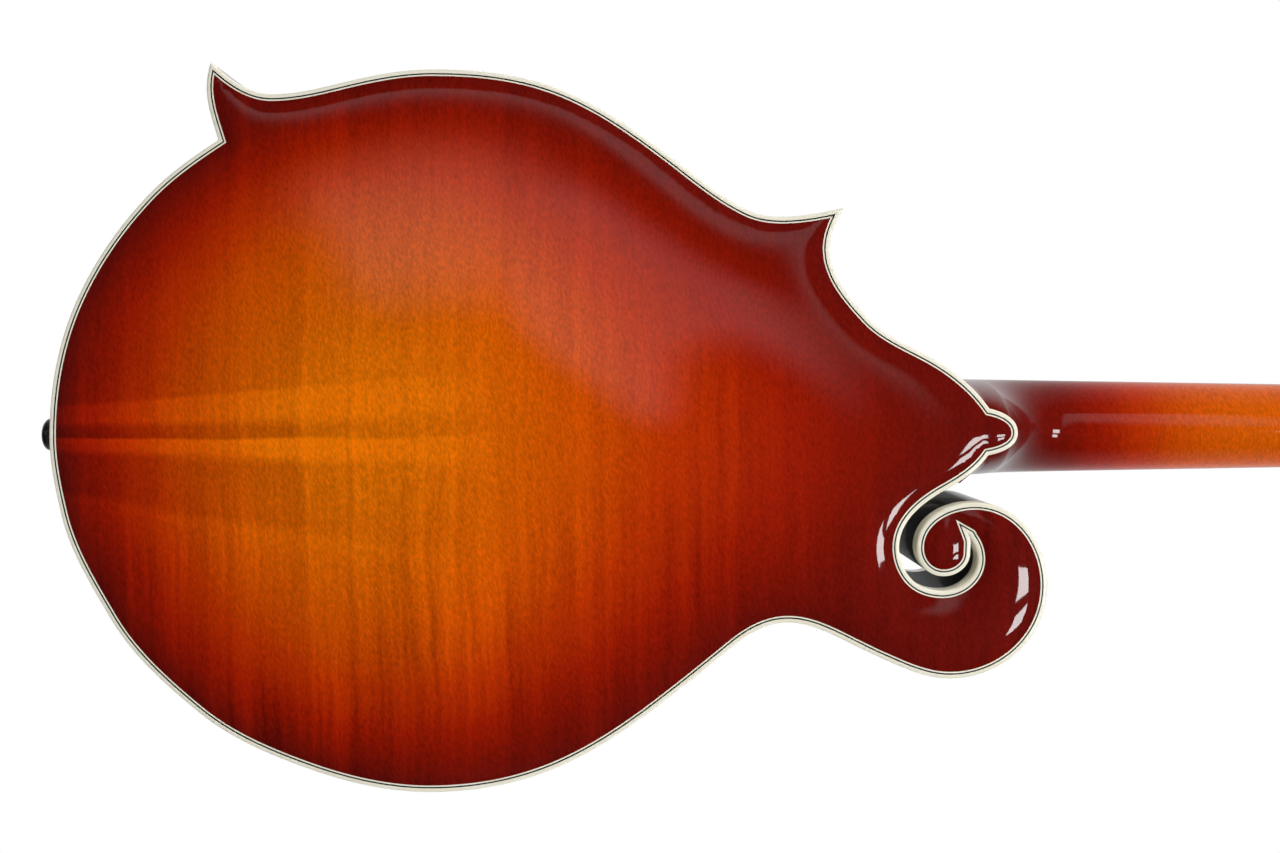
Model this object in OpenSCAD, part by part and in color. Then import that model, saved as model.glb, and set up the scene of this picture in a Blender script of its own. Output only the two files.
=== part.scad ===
// Carved, scroll-bodied mandolin, hung by its neck.
//
// Every sub-part is drawn on the bench: x runs from the tail of the body to the
// headstock, y to the scroll (bass) side and z from the back to the strings, with
// z = 0 on the outer edge of the back. hang() then turns it upright, with the
// headstock up, the soundboard facing -Y and the origin in the neck at the nut.

/* [Body] */
// Depth of the bent sides between the two plates
rim_h = 40; // [36:0.5:44]
// Thickness of both plates along their edge
edge_t = 4.5; // [4:0.1:5]
// Rise of the carved soundboard above its edge
top_arch = 15; // [12:0.5:17]
// Rise of the carved back above its edge
back_arch = 14.5; // [11:0.5:17]
// Thickness of the bent sides
side_t = 2.3; // [2:0.1:3]
// Width of the pale edge binding
binding_w = 1.5; // [1.2:0.1:1.8]
// Height of the pale edge binding
binding_h = 6.3; // [5.5:0.1:7]
// Width of each fine inlaid line beside the binding
line_w = 0.5; // [0.4:0.1:0.6]

/* [Neck] */
// Sounding length of the strings, from nut to saddle
scale_len = 353; // [345:1:356]
// Backward lean of the neck
neck_pitch = 6; // [5:0.25:7]
// Backward lean of the headstock from the neck
head_pitch = 15; // [13:0.5:16]
// Width of the fingerboard at the nut
nut_w = 28.6; // [27:0.2:31]
// Width of the fingerboard where the neck meets the body
joint_w = 37; // [36:0.5:38]
// Thickness of the fingerboard
board_t = 5; // [4.5:0.25:5.5]
// Number of frets
fret_count = 24; // [20:1:24]
// Thickness of the headstock with its face veneer
head_t = 15; // [14:0.5:16]

/* [Tuning machines] */
// Teeth on each cog
cog_teeth = 16; // [16:1:16]
// Distance between neighbouring string posts
post_gap = 23.2; // [23:0.1:23.4]
// Distance of the posts from the middle of the headstock
post_y = 18.5; // [18:0.25:19]
// Diameter of the string posts
post_d = 6; // [5.8:0.1:6.2]

/* [Bridge and tailpiece] */
// Height of the strings above the soundboard at the bridge
bridge_h = 17.5; // [17:0.25:18.5]
// Width of the tailpiece
tail_w = 46; // [44:1:48]
// Distance between the outermost strings at the saddle
saddle_spread = 41; // [39:0.5:42]

/* [Hidden] */
// Finish colours
red_burst = [0.45, 0.10, 0.03];
amber_top = [0.80, 0.42, 0.12];
maple = [0.80, 0.62, 0.38];
spruce = [0.86, 0.72, 0.50];
ivory = [0.93, 0.88, 0.72];
ebony = [0.09, 0.08, 0.08];
metal = [0.78, 0.76, 0.70];
brass = [0.80, 0.62, 0.28];

top_z = edge_t + rim_h;              // glue line of the soundboard
face_z = top_z + edge_t;             // outer edge of the soundboard
slack = 0.2;                         // running gap round a moving piece

// Body outline as knots [x, y, heading in, heading out]: tail, treble side with its
// two points, heel button, scroll with its slot, bass side. Headings are in degrees.
OUTLINE = [
    [0, 0, -90], [9.5, -47.5, -66], [35.5, -85.5, -46], [60, -104.5, -33, -107],
    [56, -121.5, -93], [57.5, -132, -73, 43], [79, -120.5, 0], [110.5, -126, -12],
    [135, -129, 0], [179.5, -122, 21], [217.5, -99, 37], [246, -79, 26],
    [260.5, -76.5, -2], [280, -79.5, -13, 118], [275, -65, 90], [288, -41, 48],
    [314, -24.5, 33], [331, -8.5, 56, 12], [341, 0, 90], [330.5, 8, 170, 125],
    [315.5, 20, 151], [299, 40, 91], [302.5, 50.5, 52], [313.5, 55.5, 2],
    [326.5, 44, -91], [324, 37, -127], [323.5, 36, -152, 60], [324, 42, 90],
    [314.5, 50.5, 180], [305, 40.5, -90], [325.5, 24.5, 0], [351, 53.5, 90],
    [316.5, 86.5, 180], [292, 79, 204], [273.5, 70, 204], [259.5, 66.5, 180],
    [240.5, 74.5, 141], [214.5, 95, 143], [177, 117.5, 158], [134, 125.5, 180],
    [90.5, 117, 200], [51.5, 96.5, 220], [21, 63.5, 240], [4, 27, 257]
];

// Foot of the carved arch: the recurve, which crosses the roots of scroll and points
RECURVE = [
    [13, 0, -90], [21, -44, -66], [48, -82, -42], [90, -106, -12],
    [135, -114, 0], [174, -109, 19], [214, -83, 38], [250, -58, 27],
    [279, -34, 50], [296, 0, 90], [284, 32, 120], [258, 52, 160],
    [214, 81, 144], [174, 104, 158], [134, 112, 180], [92, 104, 200],
    [56, 84, 220], [29, 53, 241]
];
ARCH_MID = [146, 0];                 // crown of both arches

// Headstock outline in its own plane, from the treble side of the nut
HEAD = [
    [-2, -14.3, -90, 0], [14, -18.5, -38], [24, -26.5, -18], [42, -27.5, 2],
    [96, -25.5, 4], [122, -25, -28], [140, -36, -35, 120], [146, -16, 60],
    [158, -2, 90], [149, 12, 160, 40], [156, 29, 90], [141, 40, 180],
    [124, 30, 230], [112, 25.5, 184], [42, 27.5, 178], [24, 26.5, 198],
    [14, 18.5, 218], [-2, 14.3, 180, -90]
];

// A smooth run of points from one knot to the next: a cubic that keeps both headings
function turn_between(a, b) = b - a - 360 * round((b - a) / 360);
function heading_out(k) = len(k) > 3 ? k[3] : k[2];
function ray(h) = [cos(h), sin(h)];
function leg(a, b, step) =
    let (
        p = [a[0], a[1]], q = [b[0], b[1]], h = heading_out(a),
        turn = abs(turn_between(h, b[2])),
        reach = norm(q - p) / (3 * pow(cos(turn / 4), 2)),
        p1 = p + reach * ray(h), q1 = q - reach * ray(b[2]),
        n = max(2, ceil(turn / step))
    )
    [for (i = [0:n - 1]) let (t = i / n, s = 1 - t)
        s * s * s * p + 3 * s * s * t * p1 + 3 * s * t * t * q1 + t * t * t * q];
function loop(knots, step) =
    [for (i = [0:len(knots) - 1]) each leg(knots[i], knots[(i + 1) % len(knots)], step)];

EDGE = loop(OUTLINE, 8);
ARCH = loop(RECURVE, 8);

// Swell of a carved plate, from 0 on the recurve (s = 1) to 1 at the crown (s = 0)
function swell(s) = (1 + cos(180 * pow(s, 1.25))) / 2;
// Thickness of a carved plate: full at the crown and the edge, thinner between them
function plate_t(s) = edge_t - 1.5 * sin(180 * s);
// Height of the soundboard on the middle line
function top_at(x) =
    let (end = x < ARCH_MID[0] ? 13 : 296, s = (x - ARCH_MID[0]) / (end - ARCH_MID[0]))
    face_z + (s < 1 ? top_arch * swell(s) : 0);

// Neck and string geometry
fret_15 = scale_len * (1 - pow(2, -15 / 12));
joint_x = 333;                       // fifteenth fret, over the body joint
bridge_x = joint_x - (scale_len - fret_15) * cos(neck_pitch);
saddle_z = top_at(bridge_x) + bridge_h;
board_z = saddle_z - 4 - (joint_x - bridge_x) * tan(neck_pitch);
nut_x = joint_x + fret_15 * cos(neck_pitch);
nut_z = board_z - fret_15 * sin(neck_pitch);
origin_z = nut_z - 11;
shoulder_x = 322;                    // where the neck butts against the body
board_end = 64;                      // fingerboard length past the body joint
nut_t = 3.2;

function board_w(x) = joint_w + (nut_w - joint_w) * x / fret_15;
function fret_x(n) = fret_15 - scale_len * (1 - pow(2, -n / 12));
function under_board(x) = board_z - board_t / cos(neck_pitch) - (x - joint_x) * tan(neck_pitch);

// Four courses of two strings, numbered from the treble side
STRING_D = [0.28, 0.38, 0.66, 1.0];
function course_side(i) = i / 3 - 0.5;
function string_y(course, twin, spread, twin_gap) =
    course_side(course) * (spread - twin_gap) + (twin - 0.5) * twin_gap;
saddle_twin = 2.8;
nut_spread = 23.5;
nut_twin = 2.3;
hook_x = 17;
hook_z = face_z + 5.6;
nut_string_z = 1.85;                 // string centre above the fingerboard at the nut
wrap_r = post_d / 2 + 0.5;            // radius of the turns of string on a post
wrap_z = 7.5;                        // string on its post above the headstock face

// Tuning machines
machine_z = -head_t;                 // back of the headstock
cog_module = 0.6;
cog_r = cog_module * cog_teeth / 2;
worm_r = 2.5;
worm_pitch = PI * cog_module;
worm_drop = 4.4;                     // worm axis below the back of the headstock
worm_gap = cog_r + worm_r;
worm_z = machine_z - worm_drop;
ear_y = 5.4;                         // centre of each bearing ear from the worm's middle
shaft_d = 3;
function post_x(n) = 34 + post_gap * n;

$fn = 48;

// ---- frames -------------------------------------------------------------------

module hang() {
    multmatrix([[0, -1, 0, 0], [0, 0, -1, origin_z], [1, 0, 0, -nut_x]]) children();
}

// Fingerboard frame: origin on the board's surface at the body joint, x to the nut
module on_board() {
    translate([joint_x, 0, board_z]) rotate([0, neck_pitch, 0]) children();
}

// Headstock frame: origin on the headstock's face behind the nut, x to its tip
module on_head() {
    on_board() translate([fret_15 + nut_t, 0, -board_t]) rotate([0, head_pitch, 0]) children();
}

// Machine frame of tuner n, 1 to 4 on the bass side and 5 to 8 on the treble side
module at_tuner(n) {
    side = n < 5 ? 1 : -1;
    on_head() translate([post_x((n - 1) % 4), side * post_y, 0])
        mirror([0, side < 0 ? 1 : 0, 0]) children();
}

// ---- body ---------------------------------------------------------------------

module body_shape(inset = 0) {
    if (inset == 0) polygon(EDGE);
    else offset(delta = -inset) polygon(EDGE);
}

module body_ring(outer, inner) {
    difference() {
        body_shape(outer);
        body_shape(inner);
    }
}

// The neck's heel takes the place of the sides and the soundboard here
module heel_zone() translate([shoulder_x, -22]) square([30, 44]);

// A stack of shrinking copies of the recurve, one ring for each [scale, height]
module ring_stack(rings) {
    n = len(ARCH);
    points = [for (r = rings) for (p = ARCH) let (q = ARCH_MID + r[0] * (p - ARCH_MID))
        [q[0], q[1], r[1]]];
    last = len(rings) - 1;
    walls = [for (r = [0:last - 1]) for (i = [0:n - 1]) let (j = (i + 1) % n)
        each [[r * n + i, (r + 1) * n + i, (r + 1) * n + j], [r * n + i, (r + 1) * n + j, r * n + j]]];
    floor_cap = [for (i = [0:n - 1]) i];
    roof_cap = [for (i = [n - 1:-1:0]) last * n + i];
    polyhedron(points, concat(walls, [floor_cap, roof_cap]));
}

OUTER_RINGS = [1, 0.93, 0.85, 0.76, 0.66, 0.55, 0.43, 0.3, 0.17, 0.06];
INNER_RINGS = [1, 0.86, 0.7, 0.52, 0.34, 0.1];

// Solid mound under the outer face of a plate, from z = -edge_t
module mound(rise) {
    ring_stack(concat([[1, -edge_t]], [for (s = OUTER_RINGS) [s, rise * swell(s)]]));
}

// Hollow on the inner side of a plate
module hollow(rise) {
    ring_stack(concat([[1, -edge_t - 1]], [for (s = INNER_RINGS) [s, rise * swell(s) - plate_t(s)]]));
}

// Carved plate with its outer edge at z = 0 and its arch upward
module carved_plate(rise) {
    inlay = binding_w + 2 * line_w;
    difference() {
        union() {
            translate([0, 0, -2]) linear_extrude(2) body_shape(inlay);
            translate([0, 0, -edge_t]) linear_extrude(edge_t - 2) body_shape(binding_w);
            mound(rise);
        }
        hollow(rise);
    }
}

module back_plate() color(red_burst) hang() mirror([0, 0, 1]) carved_plate(back_arch);

// Sound hole beside the bridge: a swelling stem between two eyes
module sound_hole() {
    ends = [[225.5, 42], [240, 52], [128, 62], [141.5, 72]];
    function stem(t) = let (s = 1 - t) s * s * s * ends[0] + 3 * s * s * t * ends[1]
        + 3 * s * t * t * ends[2] + t * t * t * ends[3];
    function half_w(t) = 1 + 2.2 * pow(sin(180 * t), 1.5);
    function normal(t) = let (d = stem(t + 0.01) - stem(t - 0.01)) [-d[1], d[0]] / norm(d);
    steps = 22;
    one = [for (i = [0:steps]) let (t = i / steps) stem(t) + half_w(t) * normal(t)];
    other = [for (i = [steps:-1:0]) let (t = i / steps) stem(t) - half_w(t) * normal(t)];
    polygon(concat(one, other));
    translate([221.5, 43.5]) circle(d = 9);
    translate([145, 70]) circle(d = 11);
}

module top_plate() color(amber_top) hang() difference() {
    translate([0, 0, face_z]) carved_plate(top_arch);
    for (side = [0, 1]) mirror([0, side, 0])
        translate([0, 0, top_z - 1]) linear_extrude(30) sound_hole();
    translate([0, 0, top_z - 1]) linear_extrude(edge_t + 2) heel_zone();
}

module rim() color(red_burst) hang() difference() {
    union() {
        translate([0, 0, edge_t]) linear_extrude(rim_h) body_ring(binding_w, side_t);
        translate([0, 0, binding_h]) linear_extrude(face_z - 2 * binding_h) body_ring(0, side_t);
    }
    translate([0, 0, -1]) linear_extrude(face_z + 2) heel_zone();
    end_pin_bore();
    tail_screw_set();
}

module end_pin_bore() translate([-1, 0, face_z / 2]) rotate([0, 90, 0]) cylinder(h = 22, d = 7);

// Joint cut under the neck: a dovetail, wider inside the block than at its mouth
module dovetail(gap = 0) {
    translate([0, 0, 12 - gap]) linear_extrude(top_z - 12 + gap)
        polygon([[shoulder_x, -8 - gap], [300 - gap, -11 - gap], [300 - gap, 11 + gap],
            [shoulder_x, 8 + gap]]);
}

module head_block() color(maple) hang() difference() {
    translate([0, 0, edge_t]) linear_extrude(rim_h) difference() {
        intersection() {
            body_shape(side_t);
            polygon([[284, -60], [284, 38], [266, 74], [266, 100], [360, 100], [360, -60]]);
        }
        heel_zone();
    }
    dovetail();
}

module tail_block() color(maple) hang() difference() {
    translate([0, 0, edge_t]) linear_extrude(rim_h) intersection() {
        body_shape(side_t);
        translate([0, -32]) square([19, 64]);
    }
    end_pin_bore();
    tail_screw_set();
}

module point_blocks() color(maple) hang() translate([0, 0, edge_t]) linear_extrude(rim_h)
    intersection() {
        body_shape(side_t);
        union() {
            polygon([[48, -140], [48, -98], [64, -90], [92, -112], [92, -140]]);
            polygon([[252, -90], [252, -68], [272, -52], [290, -60], [290, -90]]);
        }
    }

// Lining strip, glued inside the sides and stopped at the blocks
module lining() intersection() {
    body_ring(side_t, side_t + 5);
    difference() {
        polygon([[19, -140], [268, -140], [268, 68], [260, 140], [19, 140]]);
        polygon([[48, -140], [48, -98], [64, -90], [92, -112], [92, -140]]);
        polygon([[252, -90], [252, -68], [272, -52], [290, -60], [290, -90]]);
    }
}

module back_lining() color(maple) hang() translate([0, 0, edge_t]) linear_extrude(7) lining();
module top_lining() color(maple) hang() translate([0, 0, top_z - 7]) linear_extrude(7) lining();

// Two bars under the soundboard, one each side, fitted to its hollow
module tone_bars() color(spruce) hang() intersection() {
    for (side = [-1, 1]) translate([70, side * 20, face_z - 4]) rotate([0, 0, side * 3])
        rotate([90, 0, 0]) linear_extrude(6, center = true)
            polygon([[0, 2], [60, 1], [130, 1], [185, 2], [185, 20], [0, 20]]);
    translate([0, 0, face_z]) hollow(top_arch);
}

// Binding and the two fine lines let in beside it
module back_binding() color(ivory) hang() linear_extrude(binding_h) body_ring(0, binding_w);
module top_binding() color(ivory) hang() translate([0, 0, face_z - binding_h])
    linear_extrude(binding_h) difference() {
        body_ring(0, binding_w);
        heel_zone();
    }

module inlaid_line(order) {
    body_ring(binding_w + order * line_w, binding_w + (order + 1) * line_w);
}
module back_line_black() color(ebony) hang() linear_extrude(2) inlaid_line(0);
module back_line_white() color(ivory) hang() linear_extrude(2) inlaid_line(1);
module top_line(order) hang() translate([0, 0, face_z - 2]) linear_extrude(2) difference() {
    inlaid_line(order);
    heel_zone();
}
module top_line_black() color(ebony) top_line(0);
module top_line_white() color(ivory) top_line(1);

// ---- neck ---------------------------------------------------------------------

// Heel and shaft: stations [x, half width of the foot], lofted to the nut
HEEL_FOOT = [[shoulder_x, 15], [327, 11.5], [331, 8], [335, 7.3], [338.5, 5.2], [340.5, 2.5]];
heel_end = 374;
HEEL_STATIONS = [341, 342.5, 344.5, 347, 350, 354, 359, 365, heel_end];
SHAFT_STATIONS = [400, 440, 480, 515, 530, nut_x - 1];

function shaft_depth(x) = 17.5 - 2.5 * (x - joint_x) / (nut_x - joint_x);
function neck_depth(x) =
    let (whole = under_board(x) - binding_h, shaft = shaft_depth(x))
    x <= 341 ? whole : x >= heel_end ? shaft
        : shaft + (whole - shaft) * pow((heel_end - x) / (heel_end - 341), 3);

// One half-round section: flat under the board, with a flat foot where foot > 0
function neck_section(x, foot) =
    let (w = board_w((x - joint_x) / cos(neck_pitch)) / 2, d = neck_depth(x), n = 9,
        one = [for (i = [0:n]) let (a = 90 * i / n) [foot + (w - foot) * sin(a), 1 - cos(a)]])
    concat(
        [for (i = [n:-1:0]) [x, -one[i][0], under_board(x) - d * (1 - one[i][1])]],
        [for (i = [0:n]) [x, one[i][0], under_board(x) - d * (1 - one[i][1])]]
    );

module neck_loft() {
    stations = concat(HEEL_FOOT, [for (x = HEEL_STATIONS) [x, 0.2]],
        [for (x = SHAFT_STATIONS) [x, 0.2]]);
    sections = [for (s = stations) neck_section(s[0], s[1])];
    m = len(sections[0]);
    last = len(sections) - 1;
    walls = [for (r = [0:last - 1]) for (i = [0:m - 1]) let (j = (i + 1) % m)
        each [[r * m + i, (r + 1) * m + i, (r + 1) * m + j], [r * m + i, (r + 1) * m + j, r * m + j]]];
    polyhedron([for (s = sections) each s],
        concat(walls, [[for (i = [0:m - 1]) i], [for (i = [m - 1:-1:0]) last * m + i]]));
}

module head_shape(inset = 0) offset(delta = -inset) polygon(loop(HEAD, 8));

veneer_t = 1.5;
rod_z = -board_t - 9;                // middle of the truss rod in the fingerboard frame
module neck() color(red_burst) hang() difference() {
    union() {
        neck_loft();
        // Foot of the heel under the button of the back
        translate([0, 0, edge_t]) linear_extrude(binding_h - edge_t) intersection() {
            body_shape(binding_w);
            heel_zone();
        }
        dovetail();
        // Riser that carries the fingerboard over the soundboard
        rotate([90, 0, 0]) linear_extrude(29, center = true)
            polygon([[shoulder_x + 1, face_z], [shoulder_x + 1, under_board(shoulder_x + 1)],
                [275, under_board(275)], [275, top_at(275) + 2], [290, top_at(290) + 0.8],
                [300, face_z]]);
        // Headstock with a scarf that fills the bend behind the nut
        on_head() translate([0, 0, -head_t]) linear_extrude(head_t - veneer_t) head_shape();
        on_head() rotate([90, 0, 0]) linear_extrude(nut_w, center = true)
            polygon([[-nut_t - 1.5, -1], [0, -veneer_t], [12, -head_t], [-6, -head_t + 0.5]]);
    }
    // Channel for the truss rod, open into a pocket behind the nut
    on_board() translate([-8, -2.75, rod_z - 2.75]) cube([fret_15 + 14, 5.5, -rod_z - board_t + 3]);
    on_head() translate([-1.5, -5.5, -11.5]) cube([25, 11, 12.5]);
    for (p = COVER_SCREWS) on_head() translate([p[0], p[1], 0]) cover_screw();
    for (first = [1, 5]) at_tuner(first) machine_screw_row();
    for (n = [1:8]) at_tuner(n) translate([0, 0, -head_t - 1]) cylinder(h = head_t + 2, d = 8);
}

module headstock_veneer() color(ebony) hang() difference() {
    on_head() translate([0, 0, -veneer_t]) linear_extrude(veneer_t) difference() {
        intersection() {
            head_shape(binding_w);
            translate([0.3, -50]) square([200, 100]);
        }
        translate([-1, -5.5]) square([24.5, 11]);
    }
    for (n = [1:8]) at_tuner(n) translate([0, 0, -3]) cylinder(h = 4, d = 8);
    for (p = COVER_SCREWS) on_head() translate([p[0], p[1], 0]) cover_screw();
}

module headstock_binding() color(ivory) hang() on_head() translate([0, 0, -veneer_t])
    linear_extrude(veneer_t) intersection() {
        difference() {
            head_shape();
            head_shape(binding_w);
        }
        translate([0.3, -50]) square([200, 100]);
    }

module board_shape(inset) {
    polygon([[-board_end, -board_w(-board_end) / 2 + inset], [fret_15, -nut_w / 2 + inset],
        [fret_15, nut_w / 2 - inset], [-board_end, board_w(-board_end) / 2 - inset]]);
}

module fret_slots(extra) for (n = [1:fret_count])
    translate([fret_x(n), 0, -1.5]) translate([-0.3, -30, 0]) cube([0.6, 60, 1.5 + extra]);

module fingerboard() color(ebony) hang() on_board() difference() {
    translate([0, 0, -board_t]) linear_extrude(board_t) board_shape(binding_w);
    fret_slots(1);
    marker_dots(0);
}

module fingerboard_binding() color(ivory) hang() on_board() translate([0, 0, -board_t])
    linear_extrude(board_t) difference() {
        board_shape(0);
        board_shape(binding_w);
        translate([-board_end - 1, -board_w(0) / 2 + binding_w - 0.5])
            square([1 + 0.001, board_w(0) - 2 * binding_w + 1]);
    }

// Fret wire: a half-round crown over a tang in the slot
module frets() color(metal) hang() on_board() for (n = [1:fret_count]) {
    w = board_w(fret_x(n)) - 0.4;
    translate([fret_x(n), 0, 0]) {
        rotate([90, 0, 0]) linear_extrude(w, center = true) intersection() {
            circle(d = 2, $fn = 24);
            translate([-1, 0]) square([2, 1]);
        }
        translate([-0.3, -w / 2 + binding_w, -1.5]) cube([0.6, w - 2 * binding_w, 1.5]);
    }
}

MARKED = [5, 7, 10, 12, 15];
function mid_x(n) = (fret_x(n - 1) + fret_x(n)) / 2;
module marker_dots(lift) for (n = MARKED)
    for (y = n == 12 ? [-6.5, 6.5] : [0])
        translate([mid_x(n), y, -1.2]) cylinder(h = 1.2 + lift, d = 5);
module fret_markers() color("white") hang() on_board() marker_dots(0);

module nut() color(ivory) hang() difference() {
    on_board() translate([fret_15, -nut_w / 2, -board_t]) cube([nut_t, nut_w, board_t + 2.1]);
    notches(2, 8, 1.3);
}

module truss_rod() color(metal) hang() on_board()
    translate([-6, 0, rod_z]) rotate([0, 90, 0]) cylinder(h = fret_15 + 19, d = 5);

// Nut on the threaded end of the rod, with a hexagonal key drive
module truss_rod_nut() color(brass) hang() on_board()
    translate([fret_15 + 9.5, 0, rod_z]) rotate([0, 90, 0]) difference() {
        union() {
            cylinder(h = 1.2, d = 8.5);
            cylinder(h = 8, d = 7);
        }
        translate([0, 0, -1]) cylinder(h = 5, d = 5 + 2 * slack);
        translate([0, 0, 3]) cylinder(h = 6, d = 4.6, $fn = 6);
    }

module cover_shape() {
    polygon(loop([[0.5, -9.5, -90, 0], [8, -9.7, 5], [18, -6.5, 12], [29, 0, 90],
        [18, 6.5, 168], [8, 9.7, 175], [0.5, 9.5, 180, -90]], 12));
}
COVER_SCREWS = [[4.5, -7.4], [4.5, 7.4], [26, 0]];
cover_t = 1.6;
module cover_screw() wood_screw(1.6, 3.4, 7, cover_t);
module truss_rod_cover() color(ebony) hang() on_head() difference() {
    linear_extrude(cover_t) cover_shape();
    for (p = COVER_SCREWS) translate([p[0], p[1], -1]) cylinder(h = 4, d = 1.6);
}
module truss_cover_screws() color(metal) hang() on_head()
    for (p = COVER_SCREWS) translate([p[0], p[1], 0]) cover_screw();

// Round-headed wood screw, its head on a plate of the given thickness
module wood_screw(shank_d, head_d, length, plate) rotate_extrude()
    polygon([[0, plate - length], [shank_d / 2, plate - length + 1], [shank_d / 2, plate],
        [head_d / 2, plate], [head_d / 2 * 0.8, plate + 0.6], [0, plate + 0.9]]);

// ---- bridge, tailpiece and strings --------------------------------------------

wheel_z = saddle_z - 9.6;            // underside of the thumbwheels
wheel_t = 2.6;
base_top = wheel_z - 2.4;            // leaves the saddle room to come down
saddle_foot = wheel_z + wheel_t + 0.1;
stud_y = 38;
base_len = 114;

module bridge_base() color(ebony) hang() difference() {
    translate([bridge_x, 0, 0]) rotate([90, 0, 90]) linear_extrude(11, center = true)
        polygon([[-base_len / 2, 50], [-base_len / 2, 61], [-50, base_top - 1.5],
            [-stud_y - 8, base_top], [-stud_y + 8, base_top], [-24, base_top - 1.2],
            [24, base_top - 1.2], [stud_y - 8, base_top], [stud_y + 8, base_top],
            [50, base_top - 1.5], [base_len / 2, 61], [base_len / 2, 50]]);
    translate([0, 0, face_z]) mound(top_arch);
    for (y = [-stud_y, stud_y]) translate([bridge_x, y, base_top - 3]) cylinder(h = 8, d = 4);
}

// Saddle, stepped along its crown so that each course has its own length
module bridge_saddle() color(ebony) hang() difference() {
    translate([bridge_x, 0, 0]) rotate([90, 0, 90]) linear_extrude(7, center = true)
        polygon([[-50, saddle_foot], [-50, saddle_foot + 3.5], [-32, saddle_z], [32, saddle_z],
            [50, saddle_foot + 3.5], [50, saddle_foot], [26, saddle_foot],
            [20, saddle_foot + 1.6], [-20, saddle_foot + 1.6], [-26, saddle_foot]]);
    for (y = [-stud_y, stud_y]) translate([bridge_x, y, 0]) cylinder(h = saddle_z - 3.2, d = 4.4);
    for (c = [0:3]) translate([bridge_x + (c % 2 == 0 ? 1.2 : -6),
        course_side(c) * (saddle_spread - saddle_twin) - 5, saddle_z - 1.6]) cube([4.8, 10, 3]);
    notches(1, 9, 1.25);
}

module bridge_posts() color(brass) hang() for (y = [-stud_y, stud_y])
    translate([bridge_x, y, base_top - 3]) cylinder(h = saddle_z - 5.5 - base_top + 3, d = 4);

// Thumbwheel with a knurled edge
module thumbwheel(y) color(brass) hang() translate([bridge_x, y, wheel_z]) difference() {
    cylinder(h = wheel_t, d = 15);
    translate([0, 0, -1]) cylinder(h = 5, d = 4.3);
    for (a = [0:15:345]) rotate([0, 0, a]) translate([7.7, 0, -1]) cylinder(h = 5, d = 1, $fn = 6);
}
module thumbwheel_bass() thumbwheel(stud_y);
module thumbwheel_treble() thumbwheel(-stud_y);

tail_slope = 8.5;                    // slope of the strings over the tailpiece
HOOK_Y = [for (c = [0:3]) for (t = [0, 1]) string_y(c, t, 32, 3.4)];

// Pressed base: an upright plate on the end of the body and a shelf with string hooks
module tailpiece_base() color(metal) hang() {
    difference() {
        union() {
            translate([-1.5, -17, 8]) cube([1.5, 34, face_z - 6.5]);
            translate([0, 0, face_z + 0.3]) linear_extrude(1.2) polygon([[-1.5, -16], [5, 4 - tail_w / 2],
                [18, 4 - tail_w / 2], [18, tail_w / 2 - 4], [5, tail_w / 2 - 4], [-1.5, 16]]);
        }
        translate([-3, 0, face_z / 2]) rotate([0, 90, 0]) cylinder(h = 5, d = 7);
        for (p = TAIL_SCREWS) translate([-3, p[0], p[1]]) rotate([0, 90, 0]) cylinder(h = 5, d = 2.4);
    }
    for (y = HOOK_Y) translate([hook_x - 5, y - 0.8, face_z + 1.4]) {
        cube([1.4, 1.6, 3.4]);
        translate([-2.6, 0, 2.6]) cube([3.6, 1.6, 1]);
    }
}

TAIL_SCREWS = [[-11, 14], [11, 14], [0, 40]];
module tail_screw_set() for (p = TAIL_SCREWS)
    translate([0, p[0], p[1]]) rotate([0, -90, 0]) wood_screw(2.4, 5, 12, 1.5);
module tailpiece_screws() color(metal) hang() tail_screw_set();

// Sliding cover: an arched shell with rounded corners, open towards the bridge
module cover_block(inset, foot) intersection() {
    rotate([90, 0, 0]) linear_extrude(tail_w, center = true)
        polygon([[-4 + inset, face_z + 2 - foot], [-4 + inset, face_z + 8 - inset],
            [-2 + inset, face_z + 12 - inset], [3, face_z + 14.4 - inset],
            [12, face_z + 15.8 - inset], [26, face_z + 16.8 - inset],
            [46 + 2 * inset, face_z + 18.4 - inset],
            [46 + 2 * inset, face_z + 5.5 - foot]]);
    translate([0, 0, face_z - 10]) linear_extrude(40) offset(r = 9 - inset) offset(delta = inset - 9)
        polygon([[-4 + inset, inset - tail_w / 2], [60, inset - tail_w / 2],
            [60, tail_w / 2 - inset], [-4 + inset, tail_w / 2 - inset]]);
}
module tailpiece_cover() color(metal) hang() difference() {
    cover_block(0, 0);
    cover_block(1, 8);
}

module end_pin() color(ebony) hang() translate([0, 0, face_z / 2]) rotate([0, -90, 0])
    rotate_extrude() polygon([[0, -19], [2.4, -19], [3.4, 1.6], [5.6, 1.6], [5.6, 3],
        [3.8, 4.4], [3.6, 6.5], [4.6, 8.4], [6, 9.4], [5.8, 10.6], [4.2, 11.6], [0, 12.2]]);

function board_point(x, y, z) = [
    joint_x + x * cos(neck_pitch) + z * sin(neck_pitch), y,
    board_z - x * sin(neck_pitch) + z * cos(neck_pitch)];
function head_point(x, y, z) = board_point(
    fret_15 + nut_t + x * cos(head_pitch) + z * sin(head_pitch), y,
    -board_t - x * sin(head_pitch) + z * cos(head_pitch));

// Post that a string winds on: D and A courses use the two posts nearest the tip
function post_of(c, t) = c == 0 ? t : c == 3 ? 1 - t : c == 1 ? 2 + t : 3 - t;
function post_side(c) = c < 2 ? -1 : 1;

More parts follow.
